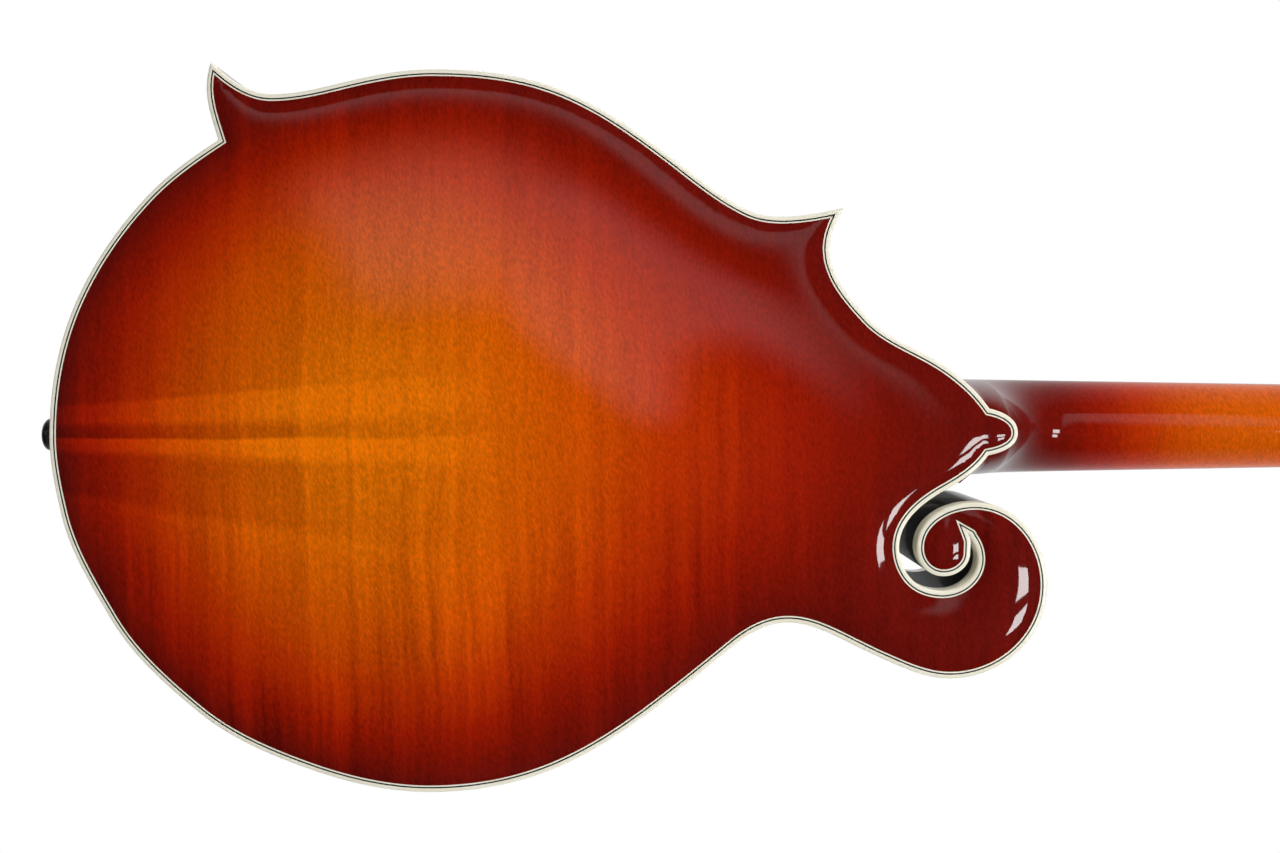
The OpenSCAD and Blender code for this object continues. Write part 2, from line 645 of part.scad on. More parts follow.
function route(c, t) = [
    [hook_x - 3.3, HOOK_Y[2 * c + t], hook_z - 2.2],
    [bridge_x, string_y(c, t, saddle_spread, saddle_twin), saddle_z],
    board_point(fret_15 + 1, string_y(c, t, nut_spread, nut_twin), nut_string_z),
    head_point(post_x(post_of(c, t)), post_side(c) * (post_y - wrap_r - STRING_D[c] / 2 - 0.15), wrap_z)
];

// Tube of round section along a route of points that runs mainly along x
module tube(r, d, sides = 8) {
    last = len(r) - 1;
    function along(i) = let (v = r[min(i + 1, last)] - r[max(i - 1, 0)]) v / norm(v);
    function across(i) = let (v = cross([0, 0, 1], along(i))) v / norm(v);
    points = [for (i = [0:last]) for (k = [0:sides - 1]) let (a = 360 * (k + 0.5) / sides)
        r[i] + d / 2 * (cos(a) * across(i) + sin(a) * cross(along(i), across(i)))];
    walls = [for (i = [0:last - 1]) for (k = [0:sides - 1]) let (j = (k + 1) % sides, m = sides * i)
        each [[m + k, m + sides + k, m + sides + j], [m + k, m + sides + j, m + j]]];
    polyhedron(points, concat(walls,
        [[for (k = [0:sides - 1]) k], [for (k = [sides - 1:-1:0]) sides * last + k]]));
}
module course(c) hang() for (t = [0, 1]) tube(route(c, t), STRING_D[c]);

// Notches for the strings at route point i, open above: this far below the string's middle
module notches(i, along, below) for (c = [0:3]) for (t = [0, 1]) {
    p = route(c, t)[i];
    w = STRING_D[c] + 0.24;
    translate([p[0] - along / 2, p[1] - w / 2, p[2] - below]) cube([along, w, below + 4]);
}

module strings_e() color(metal) course(0);
module strings_a() color(metal) course(1);
module strings_d() color(brass) course(2);
module strings_g() color(brass) course(3);

// ---- tuning machines ----------------------------------------------------------

strip_t = 1;                         // thickness of the machine plates
strip_start = -11;                   // ends of the plate beyond its first and last post
strip_end = 3 * post_gap + 18;
MACHINE_SCREWS = [-7.5, for (n = [0:3]) post_gap * n + 14.9];

// Strip plate with a pair of bearing ears for each worm
module machine_plate(first) color(brass) hang() difference() {
    union() {
        at_tuner(first) translate([0, 0, machine_z - strip_t]) linear_extrude(strip_t)
            offset(r = 3) offset(delta = -3)
                translate([strip_start, -6.5]) square([strip_end - strip_start, 13]);
        for (n = [first:first + 3]) at_tuner(n) for (s = [-1, 1])
            translate([worm_gap, s * ear_y, 0]) rotate([90, 0, 0])
                linear_extrude(1.2, center = true) {
                    translate([-2.9, worm_z]) square([5.8, worm_drop - strip_t / 2]);
                    translate([0, worm_z]) circle(d = 5.8);
                }
    }
    for (n = [first:first + 3]) at_tuner(n) {
        translate([0, 0, machine_z - 3]) cylinder(h = 4, d = post_d + 2 * slack);
        translate([worm_gap, 8, worm_z]) rotate([90, 0, 0]) cylinder(h = 16, d = shaft_d + 0.3);
    }
    at_tuner(first) for (x = MACHINE_SCREWS) translate([x, 0, machine_z - 3])
        cylinder(h = 4, d = 1.9);
}
module machine_screw_row() for (x = MACHINE_SCREWS) translate([x, 0, machine_z])
    mirror([0, 0, 1]) wood_screw(1.9, 3.8, 8, strip_t);
module machine_plate_bass() machine_plate(1);
module machine_plate_treble() machine_plate(5);

module machine_screws() color(metal) hang() for (first = [1, 5])
    at_tuner(first) machine_screw_row();

module post_bushings() color(brass) hang() for (n = [1:8]) at_tuner(n) difference() {
    union() {
        translate([0, 0, -7]) cylinder(h = 7.01, d = 8);
        cylinder(h = 1.2, d = 10.5);
    }
    translate([0, 0, -8]) cylinder(h = 12, d = post_d + 2 * slack);
}

// Worm thread: a trapezoid swept along a helix round the shaft
module worm_thread(turns) {
    steps = 14;
    core = 1.75;
    crest = 3.05;
    profile = [[core, -0.60], [crest, -0.27], [crest, 0.27], [core, 0.60]];
    n = steps * turns;
    points = [for (i = [0:n]) let (a = 360 * i / steps, rise = worm_pitch * (i / steps - turns / 2),
        fade = i < 3 || i > n - 3 ? 0.35 : 1)
        for (p = profile) let (r = core - 0.3 + (p[0] - core + 0.3) * fade)
            [r * cos(a), r * sin(a), rise + p[1] * fade]];
    walls = [for (i = [0:n - 1]) for (j = [0:3]) let (k = (j + 1) % 4)
        each [[4 * i + j, 4 * i + k, 4 * i + 4 + k], [4 * i + j, 4 * i + 4 + k, 4 * i + 4 + j]]];
    polyhedron(points, concat(walls, [[3, 2, 1, 0], [4 * n, 4 * n + 1, 4 * n + 2, 4 * n + 3]]));
}

// Key: an oval button on a shaft that carries the worm
module tuner_key(n) color(ivory) hang() at_tuner(n) translate([worm_gap, 0, worm_z])
    rotate([-90, 0, 0]) {
        translate([0, 0, -7]) cylinder(h = 21, d = shaft_d);
        translate([0, 0, -4]) cylinder(h = 8, d = 3.6);
        worm_thread(4);
        translate([0, 0, 9]) intersection() {
            rotate_extrude() polygon([[0, 0], [2.2, 0], [2.6, 4], [4, 5.6], [6, 7.5], [7.4, 10.5],
                [7.6, 13.5], [6.9, 16.5], [5, 18.8], [0, 20]]);
            translate([-8, -3.2, -1]) cube([16, 6.4, 24]);
        }
    }

// Post: a drilled capstan above the face, with its cog under the machine plate
module string_post(n) color(metal) hang() at_tuner(n) {
    difference() {
        union() {
            translate([0, 0, worm_z - 1.2]) cylinder(h = -worm_z + 1.2 + 13, d = post_d);
            translate([0, 0, 13]) cylinder(h = 1, d1 = post_d, d2 = post_d - 1.6);
            translate([0, 0, wrap_z - 1.3]) cylinder(h = 2.6, r = wrap_r);
        }
        translate([0, 0, 10.6]) rotate([90, 0, 45]) cylinder(h = 10, d = 1.5, center = true);
        translate([0, 0, worm_z - 2]) cylinder(h = 1.6, d = 2.6);
    }
    translate([0, 0, worm_z - 1.2]) cylinder(h = 2.4, r = cog_r - 0.8);
    lead = atan(worm_pitch / (2 * PI * worm_r));
    for (k = [0:cog_teeth - 1]) rotate([0, 0, 360 * k / cog_teeth])
        translate([0, 0, worm_z]) rotate([lead, 0, 0]) linear_extrude(2.4, center = true)
            polygon([[3.4, -0.62], [cog_r - 0.8, -0.5], [cog_r + 0.42, -0.2],
                [cog_r + 0.42, 0.2], [cog_r - 0.8, 0.5], [3.4, 0.62]]);
}

module tuner_key_1() tuner_key(1);
module tuner_key_2() tuner_key(2);
module tuner_key_3() tuner_key(3);
module tuner_key_4() tuner_key(4);
module tuner_key_5() tuner_key(5);
module tuner_key_6() tuner_key(6);
module tuner_key_7() tuner_key(7);
module tuner_key_8() tuner_key(8);
module string_post_1() string_post(1);
module string_post_2() string_post(2);
module string_post_3() string_post(3);
module string_post_4() string_post(4);
module string_post_5() string_post(5);
module string_post_6() string_post(6);
module string_post_7() string_post(7);
module string_post_8() string_post(8);

back_plate();
top_plate();
rim();
head_block();
tail_block();
point_blocks();
back_lining();
top_lining();
tone_bars();
back_binding();
top_binding();
back_line_black();
back_line_white();
top_line_black();
top_line_white();
neck();
fingerboard();
fingerboard_binding();
frets();
fret_markers();
nut();
truss_rod();
truss_rod_nut();
truss_rod_cover();
truss_cover_screws();
headstock_veneer();
headstock_binding();
bridge_base();
bridge_saddle();
bridge_posts();
thumbwheel_bass();
thumbwheel_treble();
tailpiece_base();
tailpiece_cover();
tailpiece_screws();
end_pin();
strings_e();
strings_a();
strings_d();
strings_g();
machine_plate_bass();
machine_plate_treble();
machine_screws();
post_bushings();
tuner_key_1();
tuner_key_2();
tuner_key_3();
tuner_key_4();
tuner_key_5();
tuner_key_6();
tuner_key_7();
tuner_key_8();
string_post_1();
string_post_2();
string_post_3();
string_post_4();
string_post_5();
string_post_6();
string_post_7();
string_post_8();
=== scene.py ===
"""Looks of a carved, scroll-bodied mandolin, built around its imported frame.

Every piece is laid out on the maker's bench, in millimetres: x runs from the tail to the
headstock, y to the scroll side and z from the back to the strings. The matrix BENCH, and
the frames hung from it, carry a piece into the row frame, in metres.
"""
import math

import bmesh
import bpy
import numpy as np
from mathutils import Matrix, Vector
from mathutils.geometry import delaunay_2d_cdt


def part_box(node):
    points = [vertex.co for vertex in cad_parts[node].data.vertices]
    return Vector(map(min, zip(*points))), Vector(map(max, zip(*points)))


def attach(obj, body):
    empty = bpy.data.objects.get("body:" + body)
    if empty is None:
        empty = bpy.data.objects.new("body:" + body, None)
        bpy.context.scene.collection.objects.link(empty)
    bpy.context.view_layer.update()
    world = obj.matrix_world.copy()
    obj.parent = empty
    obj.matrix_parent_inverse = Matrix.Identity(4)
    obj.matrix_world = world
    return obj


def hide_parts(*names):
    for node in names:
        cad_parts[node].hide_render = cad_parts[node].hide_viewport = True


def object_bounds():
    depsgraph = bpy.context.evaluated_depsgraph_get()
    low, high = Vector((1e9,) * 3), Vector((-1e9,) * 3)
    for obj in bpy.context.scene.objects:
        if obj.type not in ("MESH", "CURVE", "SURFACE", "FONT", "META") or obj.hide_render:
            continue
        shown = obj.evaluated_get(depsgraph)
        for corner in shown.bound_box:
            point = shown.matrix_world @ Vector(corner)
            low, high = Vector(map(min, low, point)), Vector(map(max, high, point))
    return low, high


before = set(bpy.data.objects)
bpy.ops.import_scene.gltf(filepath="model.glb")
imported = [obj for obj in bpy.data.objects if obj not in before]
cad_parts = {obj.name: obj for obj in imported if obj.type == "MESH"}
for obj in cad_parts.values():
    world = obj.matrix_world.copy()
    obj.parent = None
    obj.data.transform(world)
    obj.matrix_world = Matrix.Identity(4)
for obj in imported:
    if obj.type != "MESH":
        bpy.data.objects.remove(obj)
cad_box = [list(corner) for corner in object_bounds()]
scene = bpy.context.scene

# ---- frames and driving sizes, in millimetres --------------------------------------

MM = 0.001
BACK_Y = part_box("back_binding")[1].y
TAIL_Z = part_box("back_binding")[0].z
FACE_Z = (BACK_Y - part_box("top_binding")[0].y) / MM
BENCH = Matrix(((0, -MM, 0, 0), (0, 0, -MM, BACK_Y), (MM, 0, 0, TAIL_Z), (0, 0, 0, 1)))

BINDING_W, BINDING_H, LINE_W, LINE_H = 1.5, 6.3, 0.5, 2.0
SIDE_T, PLATE_T = 2.3, 4.5
BACK_ARCH, TOP_ARCH = 14.5, 15.0
EDGE_SWELL = 1.9                     # part of each arch that belongs to the rounded edge
NECK_PITCH, HEAD_PITCH = math.radians(6), math.radians(15)
SCALE, NUT_W, NUT_T, JOINT_W, BOARD_T, HEAD_T, VENEER_T = 353, 28.6, 3.2, 37, 5, 15, 1.5
JOINT_X, SHOULDER_X = 333, 322
FRET_15 = SCALE * (1 - 2 ** (-15 / 12))
NUT_X = -TAIL_Z / MM
BOARD_Z = BACK_Y / MM + 11 + FRET_15 * math.sin(NECK_PITCH)
BRIDGE_X = JOINT_X - (SCALE - FRET_15) * math.cos(NECK_PITCH)
SADDLE_Z = BOARD_Z + 4 + (JOINT_X - BRIDGE_X) * math.tan(NECK_PITCH)
POST_Y, POST_GAP, FIRST_POST = 18.5, 23.2, 34
WRAP_R, WRAP_Z = 3.5, 7.5
WORM_GAP, WORM_Z = 7.3, -HEAD_T - 4.4
STRING_D = {"e": 0.28, "a": 0.38, "d": 0.66, "g": 1.0}
HEEL_CUT_Y = 22                      # half the width of the cut that the heel fills
RISER_Y = 14.2                       # half the width of the riser under the fingerboard
TAIL_SPREAD, BRIDGE_SPREAD, NUT_SPREAD = 32, 41, 23.5    # from the first string to the last
BUTTON_FOOT = 9                      # from the worm's middle out to the tuner button
WORM_LEAD, WORM_TURNS, WORM_CORE = math.pi * 0.6, 4, 1.45
COVER_BACK, COVER_HALF_W, COVER_WALL = -4, 23, 1.0       # tailpiece cover
MITRE_LIMIT = 2.9                    # how far a corner that doubles back may reach, in depths
SIDES_IN_WOOD = 300                  # the sides are cut this far across the grain from the back


def shift(x, y, z):
    return Matrix.Translation((x, y, z))


BOARD = BENCH @ shift(JOINT_X, 0, BOARD_Z) @ Matrix.Rotation(NECK_PITCH, 4, "Y")
HEAD = BOARD @ shift(FRET_15 + NUT_T, 0, -BOARD_T) @ Matrix.Rotation(HEAD_PITCH, 4, "Y")


def tuner(n):
    """Frame of tuning machine n: 1 to 4 on the bass side, 5 to 8 mirrored on the treble side."""
    side = 1 if n < 5 else -1
    place = shift(FIRST_POST + POST_GAP * ((n - 1) % 4), side * POST_Y, 0)
    return HEAD @ place @ Matrix.Diagonal((1, side, 1, 1))


# ---- outlines -----------------------------------------------------------------------

# Knots [x, y, heading in, heading out]; headings in degrees, 0 towards the headstock
OUTLINE = [
    [0, 0, -90], [9.5, -47.5, -66], [35.5, -85.5, -46], [60, -104.5, -33, -107],
    [56, -121.5, -93], [57.5, -132, -73, 43], [79, -120.5, 0], [110.5, -126, -12],
    [135, -129, 0], [179.5, -122, 21], [217.5, -99, 37], [246, -79, 26],
    [260.5, -76.5, -2], [280, -79.5, -13, 118], [275, -65, 90], [288, -41, 48],
    [314, -24.5, 33], [331, -8.5, 56, 12], [341, 0, 90], [330.5, 8, 170, 125],
    [315.5, 20, 151], [299, 40, 91], [302.5, 50.5, 52], [313.5, 55.5, 2],
    [326.5, 44, -91], [324, 37, -127], [323.5, 36, -152, 60], [324, 42, 90],
    [314.5, 50.5, 180], [305, 40.5, -90], [325.5, 24.5, 0], [351, 53.5, 90],
    [316.5, 86.5, 180], [292, 79, 204], [273.5, 70, 204], [259.5, 66.5, 180],
    [240.5, 74.5, 141], [214.5, 95, 143], [177, 117.5, 158], [134, 125.5, 180],
    [90.5, 117, 200], [51.5, 96.5, 220], [21, 63.5, 240], [4, 27, 257],
]
RECURVE = [
    [13, 0, -90], [21, -44, -66], [48, -82, -42], [90, -106, -12], [135, -114, 0],
    [174, -109, 19], [214, -83, 38], [250, -58, 27], [279, -34, 50], [296, 0, 90],
    [284, 32, 120], [258, 52, 160], [214, 81, 144], [174, 104, 158], [134, 112, 180],
    [92, 104, 200], [56, 84, 220], [29, 53, 241],
]
CROWN = np.array([146.0, 0.0])
HEADSTOCK = [
    [14, -18.5, -90, -38], [24, -26.5, -18], [42, -27.5, 2], [96, -25.5, 4], [122, -25, -28],
    [140, -36, -35, 120], [146, -16, 60], [158, -2, 90], [149, 12, 160, 40],
    [156, 29, 90], [141, 40, 180], [124, 30, 230], [112, 25.5, 184], [42, 27.5, 178],
    [24, 26.5, 198], [14, 18.5, 218, -90],
]


def ray(heading):
    return np.array([math.cos(math.radians(heading)), math.sin(math.radians(heading))])


def leg(a, b, step):
    """Points from one knot up to the next, on the smooth curve that keeps both headings."""
    p, q, out = np.array(a[:2], float), np.array(b[:2], float), a[-1]
    turn = abs((b[2] - out + 180) % 360 - 180)
    reach = np.linalg.norm(q - p) / (3 * math.cos(math.radians(turn / 4)) ** 2)
    p1, q1 = p + reach * ray(out), q - reach * ray(b[2])
    n = max(3, math.ceil(turn / step), math.ceil(np.linalg.norm(q - p) / 2.5))
    t = (np.arange(n) / n)[:, None]
    s = 1 - t
    return s**3 * p + 3 * s * s * t * p1 + 3 * s * t * t * q1 + t**3 * q


def loop(knots, step=2.5):
    return np.concatenate([leg(a, b, step) for a, b in zip(knots, knots[1:] + knots[:1])])


def in_parts(function):
    """Works through a long list of points a thousand at a time."""
    def whole(points, line):
        parts = [function(points[k:k + 1000], line) for k in range(0, len(points), 1000)]
        return np.concatenate(parts)
    return whole


@in_parts
def edge_distance(points, line):
    """Distance of each point from a closed line."""
    along = np.roll(line, -1, 0) - line
    from_start = points[:, None] - line
    t = np.clip((from_start * along).sum(2) / np.maximum((along**2).sum(1), 1e-12), 0, 1)
    return np.sqrt(((from_start - t[..., None] * along) ** 2).sum(2)).min(1)


@in_parts
def inside(points, line):
    x, y = points[:, 0, None], points[:, 1, None]
    a, b = line, np.roll(line, -1, 0)
    spans = (a[:, 1] > y) != (b[:, 1] > y)
    rise = np.where(a[:, 1] == b[:, 1], 1, b[:, 1] - a[:, 1])
    crossing = a[:, 0] + (y - a[:, 1]) * (b[:, 0] - a[:, 0]) / rise
    return (spans & (x < crossing)).sum(1) % 2 == 1


def meet(a, b, c, d):
    """Where the line through a and b crosses the line through c and d."""
    u, v, w = b - a, d - c, c - a
    return a + u * (w[0] * v[1] - w[1] * v[0]) / (u[0] * v[1] - u[1] * v[0])


def inset(line, depth):
    """The closed line moved inwards by an even depth, with mitred corners, cut short where the
    line doubles back. Points that the move has crossed over gather where the two sides of
    their corner meet."""
    if depth == 0:
        return line
    along = np.roll(line, -1, 0) - line
    along /= np.linalg.norm(along, axis=1)[:, None]
    left = np.stack([-along[:, 1], along[:, 0]], 1)
    before = np.roll(left, 1, 0)
    mitre = (left + before) / (1 + (left * before).sum(1))[:, None]
    moved = line + depth * mitre
    sharp = (left * before).sum(1) < -0.6
    pull = np.minimum(1, MITRE_LIMIT / np.linalg.norm(mitre, axis=1))[:, None]
    moved[sharp] = (line + depth * mitre * pull)[sharp]
    crossed = (edge_distance(moved, line) < 0.985 * depth) & ~sharp
    n, k = len(line), int(np.argmin(crossed))
    order = [(k + i) % n for i in range(n)]
    run = []
    for i in order + order[:1]:
        if crossed[i]:
            run.append(i)
        elif run:
            a, b = (run[0] - 2) % n, (run[0] - 1) % n
            c, d = i, (i + 1) % n
            moved[run] = meet(moved[a], moved[b], moved[c], moved[d])
            run = []
    return moved


EDGE = loop(OUTLINE)
PLATE_EDGE = inset(EDGE, BINDING_W + 2 * LINE_W)


def heel_zone(points):
    """Where the neck's heel takes the place of the sides and the soundboard."""
    return (points[:, 0] > SHOULDER_X) & (abs(points[:, 1]) < HEEL_CUT_Y)


# ---- making pieces --------------------------------------------------------------------

def finish_mesh(bm, name, smooth_angle):
    """Closes tiny gaps, turns the normals out and keeps edges over the angle sharp."""
    bmesh.ops.remove_doubles(bm, verts=bm.verts, dist=2e-7)
    bmesh.ops.dissolve_degenerate(bm, edges=bm.edges, dist=1e-8)
    bmesh.ops.recalc_face_normals(bm, faces=bm.faces)
    for face in bm.faces:
        face.smooth = True
    for edge in bm.edges:
        if len(edge.link_faces) == 2:
            edge.smooth = edge.calc_face_angle() < math.radians(smooth_angle)
    mesh = bpy.data.meshes.new(name)
    bm.to_mesh(mesh)
    bm.free()
    return mesh


def piece(name, surface, frame_matrix, look, body="instrument", stands_for=(),
          smooth_angle=35, fields=None):
    """A mesh piece from a surface: its points, in a bench frame, and its faces. fields gives
    each point's wood place (along the grain, across it, depth) and how far the burst has
    faded in, 0 to 1."""
    points, faces = surface
    bm = bmesh.new()
    layers = {}
    if fields:
        layers["wood"] = bm.verts.layers.float_vector.new("wood")
        layers["burst"] = bm.verts.layers.float.new("burst")
    verts = [bm.verts.new(frame_matrix @ Vector(p)) for p in points]
    if fields:
        for vert, wood, burst in zip(verts, fields["wood"], fields["burst"]):
            vert[layers["wood"]] = Vector(wood) * MM
            vert[layers["burst"]] = float(burst)
    for corners in faces:
        try:
            bm.faces.new([verts[i] for i in corners])
        except ValueError:
            continue
    mesh = finish_mesh(bm, name, smooth_angle)
    mesh.materials.append(look)
    made = bpy.data.objects.new(name, mesh)
    scene.collection.objects.link(made)
    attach(made, body)
    if stands_for:
        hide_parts(*stands_for)
    return made


def skin(rings, closed_round=True, closed_on=False, caps=True):
    """Points and faces over a list of rings with equal counts of points."""
    n, m = len(rings), len(rings[0])
    points = [p for ring in rings for p in ring]
    faces = []
    for r in range(n if closed_on else n - 1):
        s = (r + 1) % n
        for i in range(m if closed_round else m - 1):
            j = (i + 1) % m
            faces.append([r * m + i, r * m + j, s * m + j, s * m + i])
    if caps and not closed_on:
        faces.append(list(range(m))[::-1])
        faces.append([(n - 1) * m + i for i in range(m)])
    return points, faces


def turned(profile, sides):
    """Points and faces of a piece turned about its z axis, from (radius, height) pairs."""
    angles = [2 * math.pi * k / sides for k in range(sides)]
    rings = [[(r * math.cos(a), r * math.sin(a), z) for a in angles] for r, z in profile]
    return skin(rings)


def edge_strip(name, section, look, cad_node, gap=False, burst=None):
    """A strip that follows the body's outline. section lists (inset, z) round the strip."""
    lines = {d: inset(EDGE, d) for d, _ in section}
    rings = [np.column_stack([lines[d], np.full(len(EDGE), z)]) for d, z in section]
    n, m = len(section), len(EDGE)
    middle = (EDGE + np.roll(EDGE, -1, 0)) / 2
    cut = heel_zone(middle) if gap else np.zeros(m, bool)
    faces = []
    for i in range(m):
        j = (i + 1) % m
        if cut[i]:
            continue
        for r in range(n):
            s = (r + 1) % n
            faces.append([r * m + i, r * m + j, s * m + j, s * m + i])
        if cut[i - 1]:
            faces.append([r * m + i for r in range(n)])
        if cut[j]:
            faces.append([r * m + j for r in range(n)])
    points = np.concatenate(rings)
    fields = None
    if burst is not None:
        step = np.linalg.norm(np.roll(EDGE, -1, 0) - EDGE, axis=1)
        round_body = np.concatenate([[0], np.cumsum(step)[:-1]])
        wood = np.zeros_like(points)
        wood[:, 0] = np.tile(round_body, n)
        wood[:, 1] = points[:, 2] + SIDES_IN_WOOD
        fields = {"wood": wood, "burst": burst(points)}
    used = sorted({k for face in faces for k in face})
    index = {k: i for i, k in enumerate(used)}
    faces = [[index[k] for k in face] for face in faces]
    if fields:
        fields = {key: np.asarray(value)[used] for key, value in fields.items()}
    piece(name, (points[used], faces), BENCH, look, stands_for=[cad_node],
          fields=fields)


# ---- finishes -------------------------------------------------------------------------------

def srgb(red, green, blue):
    """Linear colour from the 0 to 255 values that a screen shows."""
    def linear(value):
        share = value / 255
        return share / 12.92 if share <= 0.04045 else ((share + 0.055) / 1.055) ** 2.4
    return (linear(red), linear(green), linear(blue), 1)


def node(tree, kind, inputs=None, **settings):
    made = tree.nodes.new("ShaderNode" + kind)
    for key, value in settings.items():
        setattr(made, key, value)
    for key, value in (inputs or {}).items():
        if isinstance(value, bpy.types.NodeSocket):
            tree.links.new(value, made.inputs[key])
        else:
            made.inputs[key].default_value = value
    return made


def calc(tree, operation, *values):
    return node(tree, "Math", dict(enumerate(values)), operation=operation).outputs[0]


def product(tree, first, *others):
    for value in others:
        first = calc(tree, "MULTIPLY", first, value)
    return first


def centred(tree, value):
    return calc(tree, "SUBTRACT", value, 0.5)


def scaled(tree, vector, factor):
    return node(tree, "VectorMath", {0: vector, "Scale": factor}, operation="SCALE").outputs[0]


def mix(tree, share, first, second):
    return node(tree, "Mix", {0: share, 6: first, 7: second}, data_type="RGBA").outputs[2]


def spread(tree, value, low, high, to_low=0.0, to_high=1.0):
    return node(tree, "MapRange", {0: value, 1: low, 2: high, 3: to_low, 4: to_high}).outputs[0]


def eased(tree, value, low, high):
    made = node(tree, "MapRange", {0: value, 1: low, 2: high}, interpolation_type="SMOOTHSTEP")
    return made.outputs[0]


def ramp(tree, value, stops):
    made = node(tree, "ValToRGB", {0: value})
    band = made.color_ramp
    while len(band.elements) < len(stops):
        band.elements.new(0.5)
    for element, (place, colour) in zip(band.elements, stops):
        element.position = place
        element.color = colour
    return made.outputs[0]


def grey(value):
    return (value, value, value, 1)


def clouds(tree, vector, stretch, detail=2.0, roughness=0.5):
    """Noise over the vector, with the number of clouds to the metre along each axis."""
    stretched = node(tree, "Mapping", {"Vector": vector, "Scale": stretch}).outputs[0]
    return node(tree, "TexNoise", {"Vector": stretched, "Scale": 1.0, "Detail": detail,
                                   "Roughness": roughness}).outputs[0]


def relief(tree, height, strength, distance):
    """Normals of a surface whose height changes by the distance, in metres."""
    bump = node(tree, "Bump", {"Height": height, "Strength": strength, "Distance": distance})
    return bump.outputs[0]


def feed(tree, shader, **values):
    """Links values that change over the surface to the shader's inputs."""
    for label, value in values.items():
        tree.links.new(value, shader.inputs[label.replace("_", " ")])


def group(name, inputs, outputs):
    """An empty node group with named inputs (name, kind, default) and outputs (name, kind)."""
    tree = bpy.data.node_groups.new(name, "ShaderNodeTree")
    kinds = {"value": "NodeSocketFloat", "colour": "NodeSocketColor", "vector": "NodeSocketVector"}
    for label, kind, default in inputs:
        socket = tree.interface.new_socket(label, in_out="INPUT", socket_type=kinds[kind])
        if default is not None:
            socket.default_value = default
    for label, kind in outputs:
        tree.interface.new_socket(label, in_out="OUTPUT", socket_type=kinds[kind])
    return tree, tree.nodes.new("NodeGroupInput").outputs, tree.nodes.new("NodeGroupOutput").inputs


def place_group(tree, shared, **inputs):
    made = tree.nodes.new("ShaderNodeGroup")
    made.node_tree = shared
    for label, value in inputs.items():
        socket = made.inputs[label.replace("_", " ")]
        if isinstance(value, bpy.types.NodeSocket):
            tree.links.new(value, socket)
        else:
            socket.default_value = value
    return made.outputs


def make_maple_figure():
    """Flame across the grain, growth layers along it and a fine stipple of rays."""
    tree, given, out = group("maple_figure", [("Wood", "vector", None), ("Flame depth", "value", 1.0)],
                             [("Flame", "value"), ("Layers", "value"), ("Stipple", "value")])
    parts = node(tree, "SeparateXYZ", {0: given["Wood"]}).outputs
    half = calc(tree, "ABSOLUTE", parts[1])
    sway = product(tree, centred(tree, clouds(tree, given["Wood"], (16, 38, 0))), 0.005)
    along = calc(tree, "ADD", parts[0], sway)
    curl = node(tree, "CombineXYZ", {0: along, 1: half, 2: 0.0}).outputs[0]
    broad = spread(tree, clouds(tree, curl, (120, 5, 1), 1.0), 0.34, 0.66)
    narrow = spread(tree, clouds(tree, curl, (430, 14, 1), 2.0), 0.3, 0.7)
    patches = spread(tree, clouds(tree, given["Wood"], (15, 22, 1), 1.0), 0.35, 0.65, 0.35, 1.0)
    waves = product(tree, calc(tree, "ADD", broad, narrow), 0.5)
    bass_side = spread(tree, parts[1], -0.03, 0.05, 0.5, 1.25)
    tail_half = spread(tree, parts[0], 0.12, 0.26, 1.0, 0.55)
    lift = product(tree, centred(tree, waves), patches, bass_side, tail_half)
    tree.links.new(calc(tree, "MULTIPLY_ADD", lift, given["Flame depth"], 0.5), out["Flame"])
    opening = calc(tree, "MULTIPLY_ADD", parts[0], 5.5, 0.72)
    ring = calc(tree, "DIVIDE", parts[1], opening)
    wobble = product(tree, centred(tree, clouds(tree, given["Wood"], (9, 70, 1))), 0.006)
    place = spread(tree, calc(tree, "ADD", ring, wobble), 0.05, -0.05)
    layers = ramp(tree, place, [
        (0.00, grey(0.50)), (0.16, grey(0.57)), (0.22, grey(0.62)), (0.255, grey(0.41)),
        (0.42, grey(0.40)), (0.455, grey(0.78)), (0.497, grey(0.84)), (0.503, grey(0.31)),
        (0.53, grey(0.35)), (0.56, grey(0.72)), (0.635, grey(0.70)), (0.65, grey(0.46)),
        (0.80, grey(0.44)), (1.00, grey(0.50))])
    near_tail = calc(tree, "SUBTRACT", 1.0, eased(tree, parts[0], 0.085, 0.175))
    level = calc(tree, "MULTIPLY_ADD", centred(tree, layers), near_tail, 0.5)
    tree.links.new(level, out["Layers"])
    lean = node(tree, "Mapping", {"Vector": given["Wood"], "Rotation": (0, 0, 0.25)}).outputs[0]
    rays = clouds(tree, lean, (1500, 520, 400), 2.0, 0.6)
    tree.links.new(spread(tree, rays, 0.3, 0.7), out["Stipple"])
    return tree


